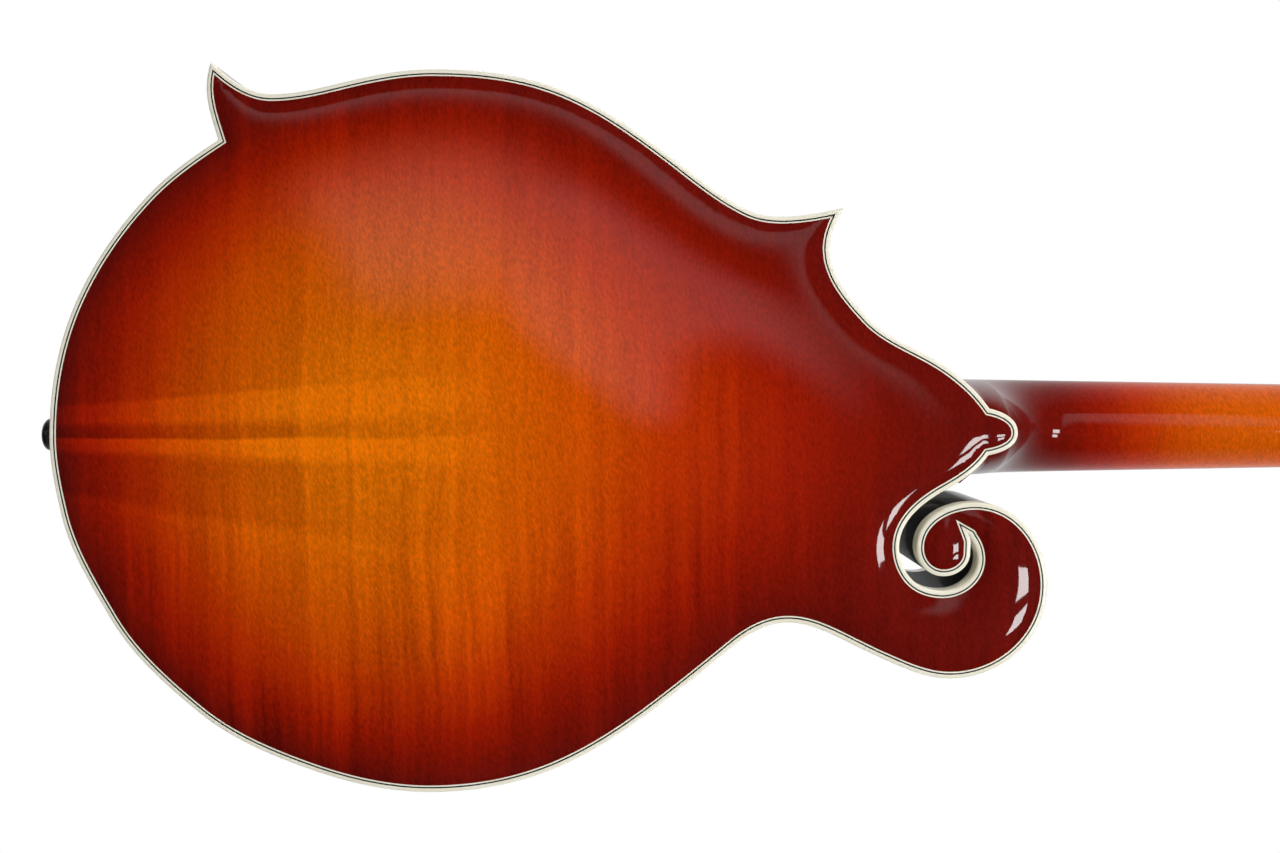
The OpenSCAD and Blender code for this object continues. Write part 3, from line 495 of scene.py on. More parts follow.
def make_burst_colours():
    """Shaded lacquer over the wood: red-black at the edge, through red, to amber."""
    tree, given, out = group("burst_colours", [
        ("Burst", "value", 0.0), ("Flame", "value", 0.5), ("Layers", "value", 0.5),
        ("Stipple", "value", 0.5)], [("Color", "colour")])
    flame = centred(tree, given["Flame"])
    layer = centred(tree, given["Layers"])
    stipple = centred(tree, given["Stipple"])
    shift_in = calc(tree, "MULTIPLY_ADD", flame, 0.09, given["Burst"])
    shift_in = calc(tree, "MULTIPLY_ADD", layer, 0.22, shift_in)
    place = calc(tree, "MULTIPLY_ADD", shift_in, 0.8, 0.2)
    colour = ramp(tree, place, [
        (0.00, srgb(9, 6, 6)), (0.13, srgb(60, 8, 6)), (0.20, srgb(100, 14, 9)),
        (0.28, srgb(118, 17, 5)), (0.36, srgb(137, 21, 3)), (0.43, srgb(153, 27, 2)),
        (0.585, srgb(182, 49, 1)), (0.785, srgb(207, 82, 1)), (0.92, srgb(217, 98, 2)),
        (1.00, srgb(228, 112, 3))])
    gain = calc(tree, "MULTIPLY_ADD", flame, 0.6, 1.0)
    gain = calc(tree, "MULTIPLY_ADD", layer, 0.75, gain)
    gain = calc(tree, "MULTIPLY_ADD", stipple, 0.45, gain)
    tree.links.new(scaled(tree, colour, gain), out["Color"])
    return tree


def make_handling_marks():
    """Handling marks: a mask of fine scratches and soft smudges for roughness and colour."""
    tree, given, out = group("handling_marks", [("Scale", "value", 1.0), ("Depth", "value", 1.0)],
                             [("Marks", "value"), ("Smudge", "value")])
    at = scaled(tree, node(tree, "TexCoord").outputs["Object"], given["Scale"])
    fine = spread(tree, clouds(tree, at, (900, 900, 120), 3.0, 0.7), 0.35, 0.75)
    soft = spread(tree, clouds(tree, at, (60, 60, 45), 3.0, 0.55), 0.3, 0.7)
    tree.links.new(product(tree, fine, given["Depth"]), out["Marks"])
    tree.links.new(product(tree, soft, given["Depth"]), out["Smudge"])
    return tree


MAPLE_FIGURE = make_maple_figure()
BURST_COLOURS = make_burst_colours()
HANDLING = make_handling_marks()


def finish(name, **constants):
    """A new material with its Principled shader, whose constant inputs are set here."""
    material = bpy.data.materials.new(name)
    material.use_nodes = True
    tree = material.node_tree
    shader = tree.nodes["Principled BSDF"]
    for label, value in constants.items():
        shader.inputs[label.replace("_", " ")].default_value = value
    return material, tree, shader


LACQUER = {"Coat_Weight": 1.0, "Coat_Roughness": 0.035, "Coat_IOR": 1.5, "Roughness": 0.45,
           "Specular_IOR_Level": 0.02}


def carried_fields(tree):
    """Place in the wood and fade of the burst, which every carved piece carries."""
    wood = node(tree, "Attribute", attribute_name="wood").outputs["Vector"]
    burst = node(tree, "Attribute", attribute_name="burst").outputs["Fac"]
    return wood, burst


def lacquered_maple():
    material, tree, shader = finish("burst_maple", **LACQUER)
    wood, burst = carried_fields(tree)
    figure = place_group(tree, MAPLE_FIGURE, Wood=wood, Flame_depth=1.0)
    colour = place_group(tree, BURST_COLOURS, Burst=burst, Flame=figure["Flame"],
                         Layers=figure["Layers"], Stipple=figure["Stipple"])
    thin_in_slot = spread(tree, burst, -0.2, -0.04, 0.15, 1.0)
    feed(tree, shader, Base_Color=colour["Color"], Coat_Weight=thin_in_slot,
         Roughness=spread(tree, figure["Stipple"], 0.0, 1.0, 0.38, 0.5))
    return material


def lacquered_spruce():
    material, tree, shader = finish("burst_spruce", **LACQUER)
    wood, burst = carried_fields(tree)
    years = clouds(tree, wood, (3, 620, 1), 2.0, 0.6)
    silk = clouds(tree, wood, (240, 120, 1), 2.0, 0.6)
    lines = spread(tree, years, 0.42, 0.62)
    shifted = calc(tree, "MULTIPLY_ADD", centred(tree, lines), -0.1, burst)
    colour = ramp(tree, shifted, [
        (0.00, srgb(70, 14, 8)), (0.14, srgb(112, 24, 8)), (0.30, srgb(160, 54, 12)),
        (0.52, srgb(204, 104, 28)), (0.78, srgb(226, 144, 52)), (1.00, srgb(235, 164, 74))])
    gain = calc(tree, "MULTIPLY_ADD", centred(tree, silk), 0.3, 1.0)
    feed(tree, shader, Base_Color=scaled(tree, colour, gain),
         Roughness=spread(tree, lines, 0.0, 1.0, 0.36, 0.5))
    return material


def bare_wood(name, pale, dark, grain_scale):
    material, tree, shader = finish(name, Specular_IOR_Level=0.25)
    at = node(tree, "TexCoord").outputs["Object"]
    grain = clouds(tree, at, (grain_scale, grain_scale, 14), 3.0, 0.6)
    feed(tree, shader, Base_Color=mix(tree, spread(tree, grain, 0.35, 0.68), pale, dark),
         Roughness=spread(tree, grain, 0.3, 0.7, 0.6, 0.8),
         Normal=relief(tree, grain, 0.25, 0.0003))
    return material


def polished(name, colour, darker, roughness, coat=0.0, grain=(220, 220, 30), **more):
    """Plastic, bone, ebony or plain lacquer: a base tone with soft grain and handling marks."""
    material, tree, shader = finish(name, Coat_Weight=coat, Coat_Roughness=0.05, **more)
    at = node(tree, "TexCoord").outputs["Object"]
    tone = spread(tree, clouds(tree, at, grain, 3.0, 0.6), 0.35, 0.7)
    marks = place_group(tree, HANDLING, Scale=1.0, Depth=1.0)
    feed(tree, shader, Base_Color=mix(tree, tone, colour, darker),
         Roughness=calc(tree, "MULTIPLY_ADD", marks["Smudge"], 0.1, roughness),
         Normal=relief(tree, marks["Marks"], 0.04, 0.0002))
    return material


def metal(name, colour, worn, roughness, scale=1.0, metallic=1.0):
    """Plated or drawn metal with fine rub marks and a slightly darker film where it dulls."""
    material, tree, shader = finish(name, Metallic=metallic)
    marks = place_group(tree, HANDLING, Scale=scale, Depth=1.0)
    feed(tree, shader, Base_Color=mix(tree, marks["Smudge"], colour, worn),
         Roughness=calc(tree, "MULTIPLY_ADD", marks["Marks"], 0.12, roughness),
         Normal=relief(tree, marks["Marks"], 0.05, 0.0001))
    return material


def pearl_finish(name, pale, tint):
    """Mother-of-pearl: folded layers that drift between cool and warm."""
    material, tree, shader = finish(name, Coat_Weight=0.8, Coat_Roughness=0.04, Roughness=0.28,
                                    Specular_IOR_Level=0.6)
    at = node(tree, "TexCoord").outputs["Object"]
    folds = clouds(tree, at, (260, 180, 420), 3.0, 0.6)
    cells = node(tree, "TexVoronoi", {"Vector": at, "Scale": 330.0}, feature="SMOOTH_F1").outputs[0]
    drift = calc(tree, "ADD", product(tree, folds, 0.7), product(tree, cells, 0.3))
    colour = ramp(tree, spread(tree, drift, 0.25, 0.65), [
        (0.0, tint), (0.35, pale), (0.6, srgb(214, 226, 222)), (0.8, pale),
        (1.0, srgb(232, 214, 222))])
    feed(tree, shader, Base_Color=colour)
    return material


def wound_finish():
    """Bronze wire wound round a steel core: fine ridges along the string, with painted shade in the
    grooves between turns.
    """
    material, tree, shader = finish("phosphor_bronze", Metallic=1.0)
    run = node(tree, "Attribute", attribute_name="along_string").outputs["Fac"]
    wire = 0.00032
    turns = calc(tree, "SINE", product(tree, run, 2 * math.pi / wire))
    # painted shade: the bronze darkens in the grooves between turns and keeps its full colour on the
    # crests
    colour = mix(tree, spread(tree, turns, -1.0, 1.0), srgb(120, 74, 44), srgb(226, 168, 116))
    feed(tree, shader, Base_Color=colour, Roughness=spread(tree, turns, -1.0, 1.0, 0.5, 0.28),
         Normal=relief(tree, turns, 0.6, 0.00005))
    return material


maple = lacquered_maple()
spruce_top = lacquered_spruce()
bare_maple = bare_wood("bare_maple", srgb(222, 190, 140), srgb(196, 156, 104), 180)
bare_spruce = bare_wood("bare_spruce", srgb(230, 202, 154), srgb(206, 168, 112), 420)
ivory = polished("ivory_binding", srgb(246, 242, 226), srgb(240, 234, 210), 0.25, coat=0.7,
                 grain=(500, 500, 60))
black_line = polished("black_line", srgb(6, 9, 12), srgb(12, 17, 20), 0.25, coat=0.5)
black_gloss = polished("black_gloss", srgb(14, 13, 14), srgb(20, 18, 18), 0.2, coat=1.0)
ebony = polished("ebony", srgb(30, 24, 22), srgb(14, 11, 11), 0.42, grain=(700, 700, 26),
                 Specular_IOR_Level=0.4)
bone = polished("bone", srgb(238, 230, 206), srgb(224, 212, 180), 0.34, grain=(900, 900, 200))
button_pearl = pearl_finish("pearl_button", srgb(238, 232, 214), srgb(206, 198, 182))
pearl = pearl_finish("pearl", srgb(236, 238, 236), srgb(190, 206, 206))
steel = metal("steel", srgb(196, 196, 198), srgb(160, 160, 164), 0.26, metallic=0.7)
nickel = metal("nickel", srgb(222, 219, 210), srgb(196, 190, 180), 0.14, metallic=0.6)
fret_wire = metal("fret_wire", srgb(206, 204, 196), srgb(176, 172, 160), 0.18)
brass = metal("brass", srgb(214, 176, 104), srgb(176, 134, 70), 0.2)
plain_string = metal("plain_string", srgb(200, 200, 202), srgb(168, 166, 164), 0.2, scale=3.0)
wound_string = wound_finish()


# ---- carved plates ----------------------------------------------------------------------

GRID = 1.0                           # pitch of the grid on which a plate's form is worked out
GRID_LOW = np.array([-2.0, -136.0])
GRID_SHAPE = (358, 266)


def stretched_film(within, fade=None, sweeps=420):
    """Height of a film blown up over the plate and held along its edge, found in sweeps that
    step past each new height. With fade, in millimetres, it levels out at 1 that far in."""
    height = np.zeros(within.shape)
    i, j = np.indices(within.shape)
    stiffness = 4 + ((GRID / fade) ** 2 if fade else 0)
    blow = (GRID / fade) ** 2 if fade else GRID**2
    stride = 1.6 if fade else 1.96
    squares = [within & ((i + j) % 2 == parity) for parity in (0, 1)]
    for _ in range(sweeps):
        for square in squares:
            near = (np.roll(height, 1, 0) + np.roll(height, -1, 0)
                    + np.roll(height, 1, 1) + np.roll(height, -1, 1) + blow) / stiffness
            height[square] += stride * (near - height)[square]
    return height


def read_grid(values, points):
    """Value at each point, between the four nearest grid nodes."""
    place = (points - GRID_LOW) / GRID
    k = np.clip(place.astype(int), 0, np.array(values.shape) - 2)
    f = place - k
    i, j = k[:, 0], k[:, 1]
    low = values[i, j] * (1 - f[:, 0]) + values[i + 1, j] * f[:, 0]
    high = values[i, j + 1] * (1 - f[:, 0]) + values[i + 1, j + 1] * f[:, 0]
    return low * (1 - f[:, 1]) + high * f[:, 1]


def smoothly(low, high, value):
    t = np.clip((np.asarray(value, float) - low) / (high - low), 0, 1)
    return t * t * (3 - 2 * t)


nodes_x, nodes_y = np.indices(GRID_SHAPE)
GRID_POINTS = GRID_LOW + GRID * np.column_stack([nodes_x.ravel(), nodes_y.ravel()])
ON_PLATE = inside(GRID_POINTS, PLATE_EDGE).reshape(GRID_SHAPE)
BURST_GRID = stretched_film(ON_PLATE)
BURST_GRID /= BURST_GRID.max()
SWELL_GRID = stretched_film(ON_PLATE, fade=5.0)

recurve = loop(RECURVE) - CROWN
recurve_angle = np.arctan2(recurve[:, 1], recurve[:, 0])
by_angle = np.argsort(recurve_angle)
RECURVE_ANGLE = recurve_angle[by_angle]
RECURVE_REACH = np.hypot(recurve[:, 0], recurve[:, 1])[by_angle]


def arch_height(points, rise):
    """Height of a carved plate above its edge: a rounded edge and, inside the recurve, the arch."""
    from_crown = points - CROWN
    angle = np.arctan2(from_crown[:, 1], from_crown[:, 0])
    reach = np.interp(angle, RECURVE_ANGLE, RECURVE_REACH, period=2 * math.pi)
    s = np.clip(np.hypot(from_crown[:, 0], from_crown[:, 1]) / reach, 0, 1)
    arch = (1 + np.cos(math.pi * s**1.25)) / 2
    depth = edge_distance(points, PLATE_EDGE)
    rounded = 1 - np.exp(-depth / 5.0)
    inner = smoothly(1.5, 6, depth)
    edge = rounded * (1 - inner) + read_grid(SWELL_GRID, points) * inner
    return EDGE_SWELL * edge + (rise - EDGE_SWELL) * arch


def plate_triangles(holes=(), stop_line=()):
    """Points and triangles that fill the plate: an even grid, and every line kept as an edge."""
    step = 2.4
    xs = np.arange(2, 350, step)
    ys = np.arange(-132, 126, step)
    grid = np.array([[x, y + 0.01] for x in xs for y in ys])
    grid = grid[inside(grid, PLATE_EDGE)]
    grid = grid[edge_distance(grid, PLATE_EDGE) > 0.45 * step]
    lines = [PLATE_EDGE, *holes]
    for hole in holes:
        grid = grid[~inside(grid, hole) & (edge_distance(grid, hole) > 0.4 * step)]
    if len(stop_line):
        apart = abs(grid[:, 0] - stop_line[0][0]) > 0.4 * step
        grid = grid[apart | (abs(grid[:, 1]) > HEEL_CUT_Y)]
    points, edges = [], []
    for line in lines:
        keep = [k for k in range(len(line)) if np.hypot(*(line[k] - line[k - 1])) > 1e-4]
        first = len(points)
        points += [tuple(line[k]) for k in keep]
        edges += [(first + k, first + (k + 1) % len(keep)) for k in range(len(keep))]
    if len(stop_line):
        first = len(points)
        points += [tuple(p) for p in stop_line]
        edges += [(first + k, first + k + 1) for k in range(len(stop_line) - 1)]
    points += [tuple(p) for p in grid]
    found, _, faces, *_ = delaunay_2d_cdt([Vector(p) for p in points], edges, [], 0, 1e-5)
    found = np.array([tuple(p) for p in found])
    faces = np.array(faces)
    centre = found[faces].mean(1)
    kept = inside(centre, PLATE_EDGE)
    for hole in holes:
        kept &= ~inside(centre, hole)
    if len(stop_line):
        kept &= ~heel_zone(centre)
    return found, faces[kept]


def carved_plate(name, rise, outward, base_z, look, cad_node, holes=(), stop_line=()):
    """A carved plate: outer face, a parallel inner face and the walls between them."""
    flat, faces = plate_triangles(holes, stop_line)
    used = np.unique(faces)
    renumber = np.full(len(flat), -1)
    renumber[used] = np.arange(len(used))
    flat, faces = flat[used], renumber[faces]
    height = arch_height(flat, rise)
    outer = np.column_stack([flat, base_z + outward * height])
    inner = np.column_stack([flat, base_z + outward * (height - PLATE_T)])
    count = len(flat)
    sides = {}
    for a, b, c in faces:
        for edge in ((a, b), (b, c), (c, a)):
            sides[tuple(sorted(edge))] = () if tuple(sorted(edge)) in sides else edge
    walls = [[a, a + count, b + count, b] for a, b in (e for e in sides.values() if e)]
    all_faces = [list(f) for f in faces] + [[v + count for v in f[::-1]] for f in faces] + walls
    points = np.concatenate([outer, inner])
    fade = read_grid(BURST_GRID, flat) * (1.14 - 0.54 * smoothly(80, 245, flat[:, 0]))
    fields = {"wood": points, "burst": np.concatenate([fade, fade])}
    piece(name, (points, all_faces), BENCH, look, stands_for=[cad_node],
          fields=fields)


def sound_hole(side):
    """Outline of the sound hole on one side: a swelling stem that runs into two round eyes."""
    a, b, c, d = (np.array(p) for p in ([225.5, 42], [240, 52], [128, 62], [141.5, 72]))
    t = np.linspace(0, 1, 60)[:, None]
    s = 1 - t
    stem = s**3 * a + 3 * s * s * t * b + 3 * s * t * t * c + t**3 * d
    slope = np.gradient(stem, axis=0)
    across = np.column_stack([-slope[:, 1], slope[:, 0]])
    across /= np.linalg.norm(across, axis=1)[:, None]
    half = 1 + 2.2 * np.sin(math.pi * t) ** 1.5
    body = np.concatenate([stem + half * across, (stem - half * across)[::-1]])
    eyes = [(np.array([221.5, 43.5]), 4.5), (np.array([145.0, 70.0]), 5.5)]
    outline = union_outline(body, eyes)
    outline[:, 1] *= side
    return outline if side > 0 else outline[::-1]


def union_outline(body, discs):
    """Outline of a closed line joined with discs that overlap its ends."""
    for centre, radius in discs:
        apart = np.hypot(*(body - centre).T)
        first = int(np.argmax(apart))
        body = np.roll(body, -first, 0)
        covered = np.nonzero(np.hypot(*(body - centre).T) < radius)[0]
        enter, leave = body[covered[0] - 1], body[(covered[-1] + 1) % len(body)]
        start = math.atan2(*(enter - centre)[::-1])
        end = math.atan2(*(leave - centre)[::-1])
        area = np.sum(body[:, 0] * np.roll(body[:, 1], -1) - body[:, 1] * np.roll(body[:, 0], -1))
        span = (end - start) % (2 * math.pi) if area > 0 else -((start - end) % (2 * math.pi))
        turn = start + np.linspace(0.04, 0.96, 28) * span
        arc = centre + radius * np.column_stack([np.cos(turn), np.sin(turn)])
        body = np.concatenate([body[:covered[0]], arc, body[covered[-1] + 1:]])
    return body


# ---- neck and headstock -------------------------------------------------------------------

def board_width(x):
    """Width of the fingerboard at board place x, from the body joint."""
    return JOINT_W + (NUT_W - JOINT_W) * x / FRET_15


def under_board(x):
    return BOARD_Z - BOARD_T / math.cos(NECK_PITCH) - (x - JOINT_X) * math.tan(NECK_PITCH)


BUTTON_END, HEEL_END = 341, 374
button_side = EDGE[(EDGE[:, 0] > 312) & (EDGE[:, 1] < 0) & (EDGE[:, 1] > -30)]
button_side = button_side[np.argsort(button_side[:, 0])]


def heel_foot(x):
    """Half the width of the heel where it stands on the button of the back."""
    if x >= BUTTON_END:
        return 0.15
    return max(0.15, -np.interp(x, button_side[:, 0], button_side[:, 1]) - 0.4)


def neck_depth(x):
    whole = under_board(x) - BINDING_H
    shaft = 17.5 - 2.5 * (x - JOINT_X) / (NUT_X - JOINT_X)
    if x <= BUTTON_END:
        return whole
    if x >= HEEL_END:
        return shaft
    rest = (HEEL_END - x) / (HEEL_END - BUTTON_END)
    return shaft + (whole - shaft) * rest**3


def round_section(half, foot, depth, fullness=1.0, steps=16):
    """(y, drop) round a half-round section. fullness 1 is an ellipse; less is squarer."""
    angles = np.linspace(0, math.pi / 2, steps + 1)
    y = foot + (half - foot) * np.sin(angles) ** fullness
    drop = depth * np.cos(angles) ** fullness
    return [(-a, b) for a, b in zip(y[::-1], drop[::-1])] + list(zip(y, drop))


def neck_sections():
    stations = list(np.linspace(SHOULDER_X, BUTTON_END, 20)) + list(
        BUTTON_END + (HEEL_END - BUTTON_END) * np.linspace(0.02, 1, 26) ** 1.5)
    stations += list(np.linspace(HEEL_END + 8, NUT_X - 1, 18))
    rings = []
    for x in stations:
        half = board_width((x - JOINT_X) / math.cos(NECK_PITCH)) / 2
        top = under_board(x)
        section = round_section(half, heel_foot(x), neck_depth(x))
        rings.append([(x, y, top - drop) for y, drop in section])
    to_bench = BENCH.inverted() @ HEAD
    for k in range(9):
        t = k / 8
        x = -1.5 + 17 * t
        half = np.interp(x, [-1.5, 0, 4, 8, 12, 14, 16], [14.3, 14.4, 14.8, 15.8, 17.4, 18.3, 20])
        section = round_section(half - 0.3 * t, 0.15, HEAD_T - VENEER_T - 0.4 * t, 1 - 0.86 * t)
        ring = [to_bench @ Vector((x, y, -VENEER_T - drop)) for y, drop in section]
        rings.append([tuple(p) for p in ring])
    return rings


def neck_shade(points):
    """The burst along the neck: dark at the heel, amber on the shaft, dark at the headstock."""
    x = points[:, 0]
    return 0.8 * smoothly(350, 436, x) * (1 - smoothly(NUT_X - 62, NUT_X + 6, x))


def build_neck():
    points, faces = skin(neck_sections())
    points = np.asarray(points)
    piece("neck_carved", (points, faces), BENCH, maple, stands_for=["neck"],
          fields={"wood": points, "burst": neck_shade(points)}, smooth_angle=50)


def build_board_riser():
    """Wedge that carries the fingerboard from the heel out over the soundboard."""
    start = SHOULDER_X + 1
    riser = [(start, 44), (start, under_board(start)), (276, under_board(276)),
             (276, FACE_Z + 3.4), (290, FACE_Z + 0.6), (300, FACE_Z - 1)]
    rings = [[(x, y, z) for x, z in riser] for y in (-RISER_Y, 0.6 - RISER_Y, RISER_Y - 0.6, RISER_Y)]
    for ring in (rings[0], rings[3]):
        ring[:] = [(x + 0.01 * (287 - x), y, z) for x, y, z in ring]
    points, faces = skin(rings)
    piece("board_riser", (points, faces), BENCH, maple,
          fields={"wood": points, "burst": np.zeros(len(points))})


def stepped(outline, levels):
    """Rings of an outline at (inset, height) levels."""
    return [[(*p, z) for p in inset(outline, d)] for d, z in levels]


def build_headstock():
    outline = loop(HEADSTOCK, 4)
    levels = [(0, -VENEER_T), (0, -HEAD_T + 1.6), (0.15, -HEAD_T + 0.9), (0.5, -HEAD_T + 0.35),
              (1.1, -HEAD_T + 0.06), (1.8, -HEAD_T)]
    points, faces = skin(stepped(outline, levels))
    points = np.asarray(points, float)
    shade = 0.05 + 0.25 * smoothly(2, 18, edge_distance(points[:, :2], outline))
    piece("headstock_carved", (points, faces), HEAD, maple,
          fields={"wood": points + [FRET_15 + JOINT_X, 0, 0], "burst": shade}, smooth_angle=40)


def build_headstock_face():
    outline = loop(HEADSTOCK, 4)
    front = outline[outline[:, 0] > 14.01]
    full = np.concatenate([front, [[14, 18.5], [8, 15.6], [3, 14.5], [0.3, 14.3]],
                           [[0.3, -14.3], [3, -14.5], [8, -15.6], [14, -18.5]]])
    levels = [(BINDING_W, -VENEER_T), (BINDING_W, -0.15), (BINDING_W + 0.15, 0)]
    piece("headstock_veneer_polished", skin(stepped(full, levels)), HEAD, black_gloss,
          stands_for=["headstock_veneer"])
    section = [(BINDING_W, -VENEER_T), (0, -VENEER_T), (0, -0.4), (0.12, -0.1), (0.4, 0),
               (BINDING_W, 0)]
    piece("headstock_binding_scraped", skin(stepped(full, section), closed_on=True), HEAD, ivory,
          stands_for=["headstock_binding"])


# ---- strings and tuning machines --------------------------------------------------------------

def string_y(course, twin, spread_w, twin_gap):
    return (course / 3 - 0.5) * (spread_w - twin_gap) + (twin - 0.5) * twin_gap


def post_of(course, twin):
    """Post, from the nut up, that takes this string: the outer courses use the nearest two."""
    return {0: twin, 3: 1 - twin, 1: 2 + twin, 2: 3 - twin}[course]


def tube(path, radius, sides=10):
    """Rings of a round tube along a path of points, with flat ends."""
    path = np.asarray(path, float)
    slope = np.gradient(path, axis=0)
    slope /= np.linalg.norm(slope, axis=1)[:, None]
    across = np.cross([0.0, 0.0, 1.0], slope)
    across /= np.maximum(np.linalg.norm(across, axis=1), 1e-9)[:, None]
    up = np.cross(slope, across)
    angles = np.linspace(0, 2 * math.pi, sides, endpoint=False)
    return [[p + radius * (math.cos(a) * s + math.sin(a) * u) for a in angles]
            for p, s, u in zip(path, across, up)]


def to_bench(matrix, *place):
    return np.array(BENCH.inverted() @ matrix @ Vector(place))


def string_piece(name, path, diameter, look, body, matrix=BENCH):
    made = piece(name, skin(tube(path, diameter / 2)), matrix, look, body=body,
                 smooth_angle=60)
    run = np.concatenate([[0], np.cumsum(np.linalg.norm(np.diff(path, axis=0), axis=1))]) * MM
    along = made.data.attributes.new("along_string", "FLOAT", "POINT")
    spots = np.array([tuple(matrix.inverted() @ v.co) for v in made.data.vertices])
    path = np.asarray(path, float)
    nearest = [int(np.argmin(((path - p) ** 2).sum(1))) for p in spots]
    along.data.foreach_set("value", run[nearest].astype(np.float32))
    return made


def build_strings():
    for course, (letter, diameter) in enumerate(STRING_D.items()):
        wound = letter in "dg"
        look, slot = (wound_string, "wound_string") if wound else (plain_string, "plain_string")
        for twin in (0, 1):
            radius = WRAP_R + diameter / 2 + 0.15
            n = post_of(course, twin)
            side = -1 if course < 2 else 1
            stops = [
                np.array([13.7, string_y(course, twin, TAIL_SPREAD, 3.4), FACE_Z + 3.4]),
                np.array([BRIDGE_X, string_y(course, twin, BRIDGE_SPREAD, 2.8), SADDLE_Z]),
                to_bench(BOARD, FRET_15 + 1, string_y(course, twin, NUT_SPREAD, 2.3), 1.85),
                to_bench(HEAD, FIRST_POST + POST_GAP * n, side * (POST_Y - radius), WRAP_Z),
            ]
            path = []
            for a, b in zip(stops, stops[1:]):
                path += [a + (b - a) * t for t in np.linspace(0, 1, 14)[:-1]]
            path.append(stops[-1])
            made = string_piece(f"string_{letter}{twin + 1}", path, diameter, look, "instrument")
            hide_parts(f"strings_{letter}")
            turns = 3 if wound else 4
            count = 22 * turns
            steps = np.arange(count + 1) / 22
            coil = [(radius * math.cos(2 * math.pi * t + math.pi / 2),
                     -radius * math.sin(2 * math.pi * t + math.pi / 2),
                     WRAP_Z + (0.5 * turns - t) * diameter * 1.02) for t in steps]
            number = n + 1 if course >= 2 else n + 5
            string_piece(f"winding_{letter}{twin + 1}", coil, diameter, look, f"post_{number}",
                         matrix=tuner(number))


def button_section(height):
    """Half width and half thickness of a tuner button at a height above its shaft."""
    rise = [0, 1.5, 4, 5.6, 7.5, 10.5, 13.5, 16.5, 18.6, 19.6, 20]
    width = [2.1, 2.3, 2.7, 4.0, 6.0, 7.4, 7.6, 6.9, 5.0, 2.9, 0.7]
    thick = [2.1, 2.2, 2.4, 2.6, 2.85, 3.1, 3.1, 2.9, 2.3, 1.5, 0.4]
    return np.interp(height, rise, width), np.interp(height, rise, thick)


def tuner_button():
    """Points and faces of a tuner button: flattened oval sections up to its crown."""
    heights = [0, 0.5, 1.5, 3, 4, 4.8, 5.6, 6.6, 7.5, 9, 10.5, 12, 13.5, 15, 16.5, 17.6, 18.6,
               19.2, 19.6, 19.85, 20]
    angles = np.linspace(0, 2 * math.pi, 36, endpoint=False)
    rings = []
    for h in heights:
        w, t = button_section(h)
        ring = []
        for a in angles:
            c, s = math.cos(a), math.sin(a)
            wide = w * math.copysign(abs(c) ** 0.85, c)
            thick = t * math.copysign(abs(s) ** 0.85, s)
            ring.append((wide, thick, h + BUTTON_FOOT))
        rings.append(ring)
    return skin(rings)


def build_tuners():
    shaft = [(0, -7), (1.2, -7), (1.5, -6.7), (1.5, -4.2), (1.75, -4), (1.75, -3.9), (1.75, 3.9),
             (1.75, 4), (1.5, 4.2), (1.5, 7.6), (2.5, 7.6), (2.5, 8.4), (1.9, 9.1), (1.5, 9.4),
             (0, 9.4)]
    for n in range(1, 9):
        axle = tuner(n) @ shift(WORM_GAP, 0, WORM_Z) @ Matrix.Rotation(-math.pi / 2, 4, "X")
        button = piece(f"button_{n}", tuner_button(), axle, button_pearl, body=f"key_{n}",
                       smooth_angle=60)
        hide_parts(f"tuner_key_{n}")
        piece(f"key_shaft_{n}", turned(shaft, 28), axle, nickel, body=f"key_{n}")
        piece(f"worm_{n}", worm_thread(), axle, brass, body=f"key_{n}",
              smooth_angle=50)


def worm_thread():
    """Points and faces of the worm's thread: a trapezoid swept along a helix, running out at
    both ends. It is slimmer than the cog's gaps, so that the two stay clear at every turn."""
    steps = 26
    profile = [(1.7, -0.44), (2.85, -0.15), (2.85, 0.15), (1.7, 0.44)]
    rings = []
    last = steps * WORM_TURNS
    for i in range(last + 1):
        angle = 2 * math.pi * i / steps
        rise = WORM_LEAD * (i / steps - WORM_TURNS / 2)
        fade = min(1.0, 0.3 + min(i, last - i) / 7)
        ring = []
        for radius, lift in profile:
            r = WORM_CORE + (radius - WORM_CORE) * fade
            ring.append((r * math.cos(angle), r * math.sin(angle), rise + lift * fade))
        rings.append(ring)
    return skin(rings)


# ---- tailpiece and end pin ----------------------------------------------------------------------

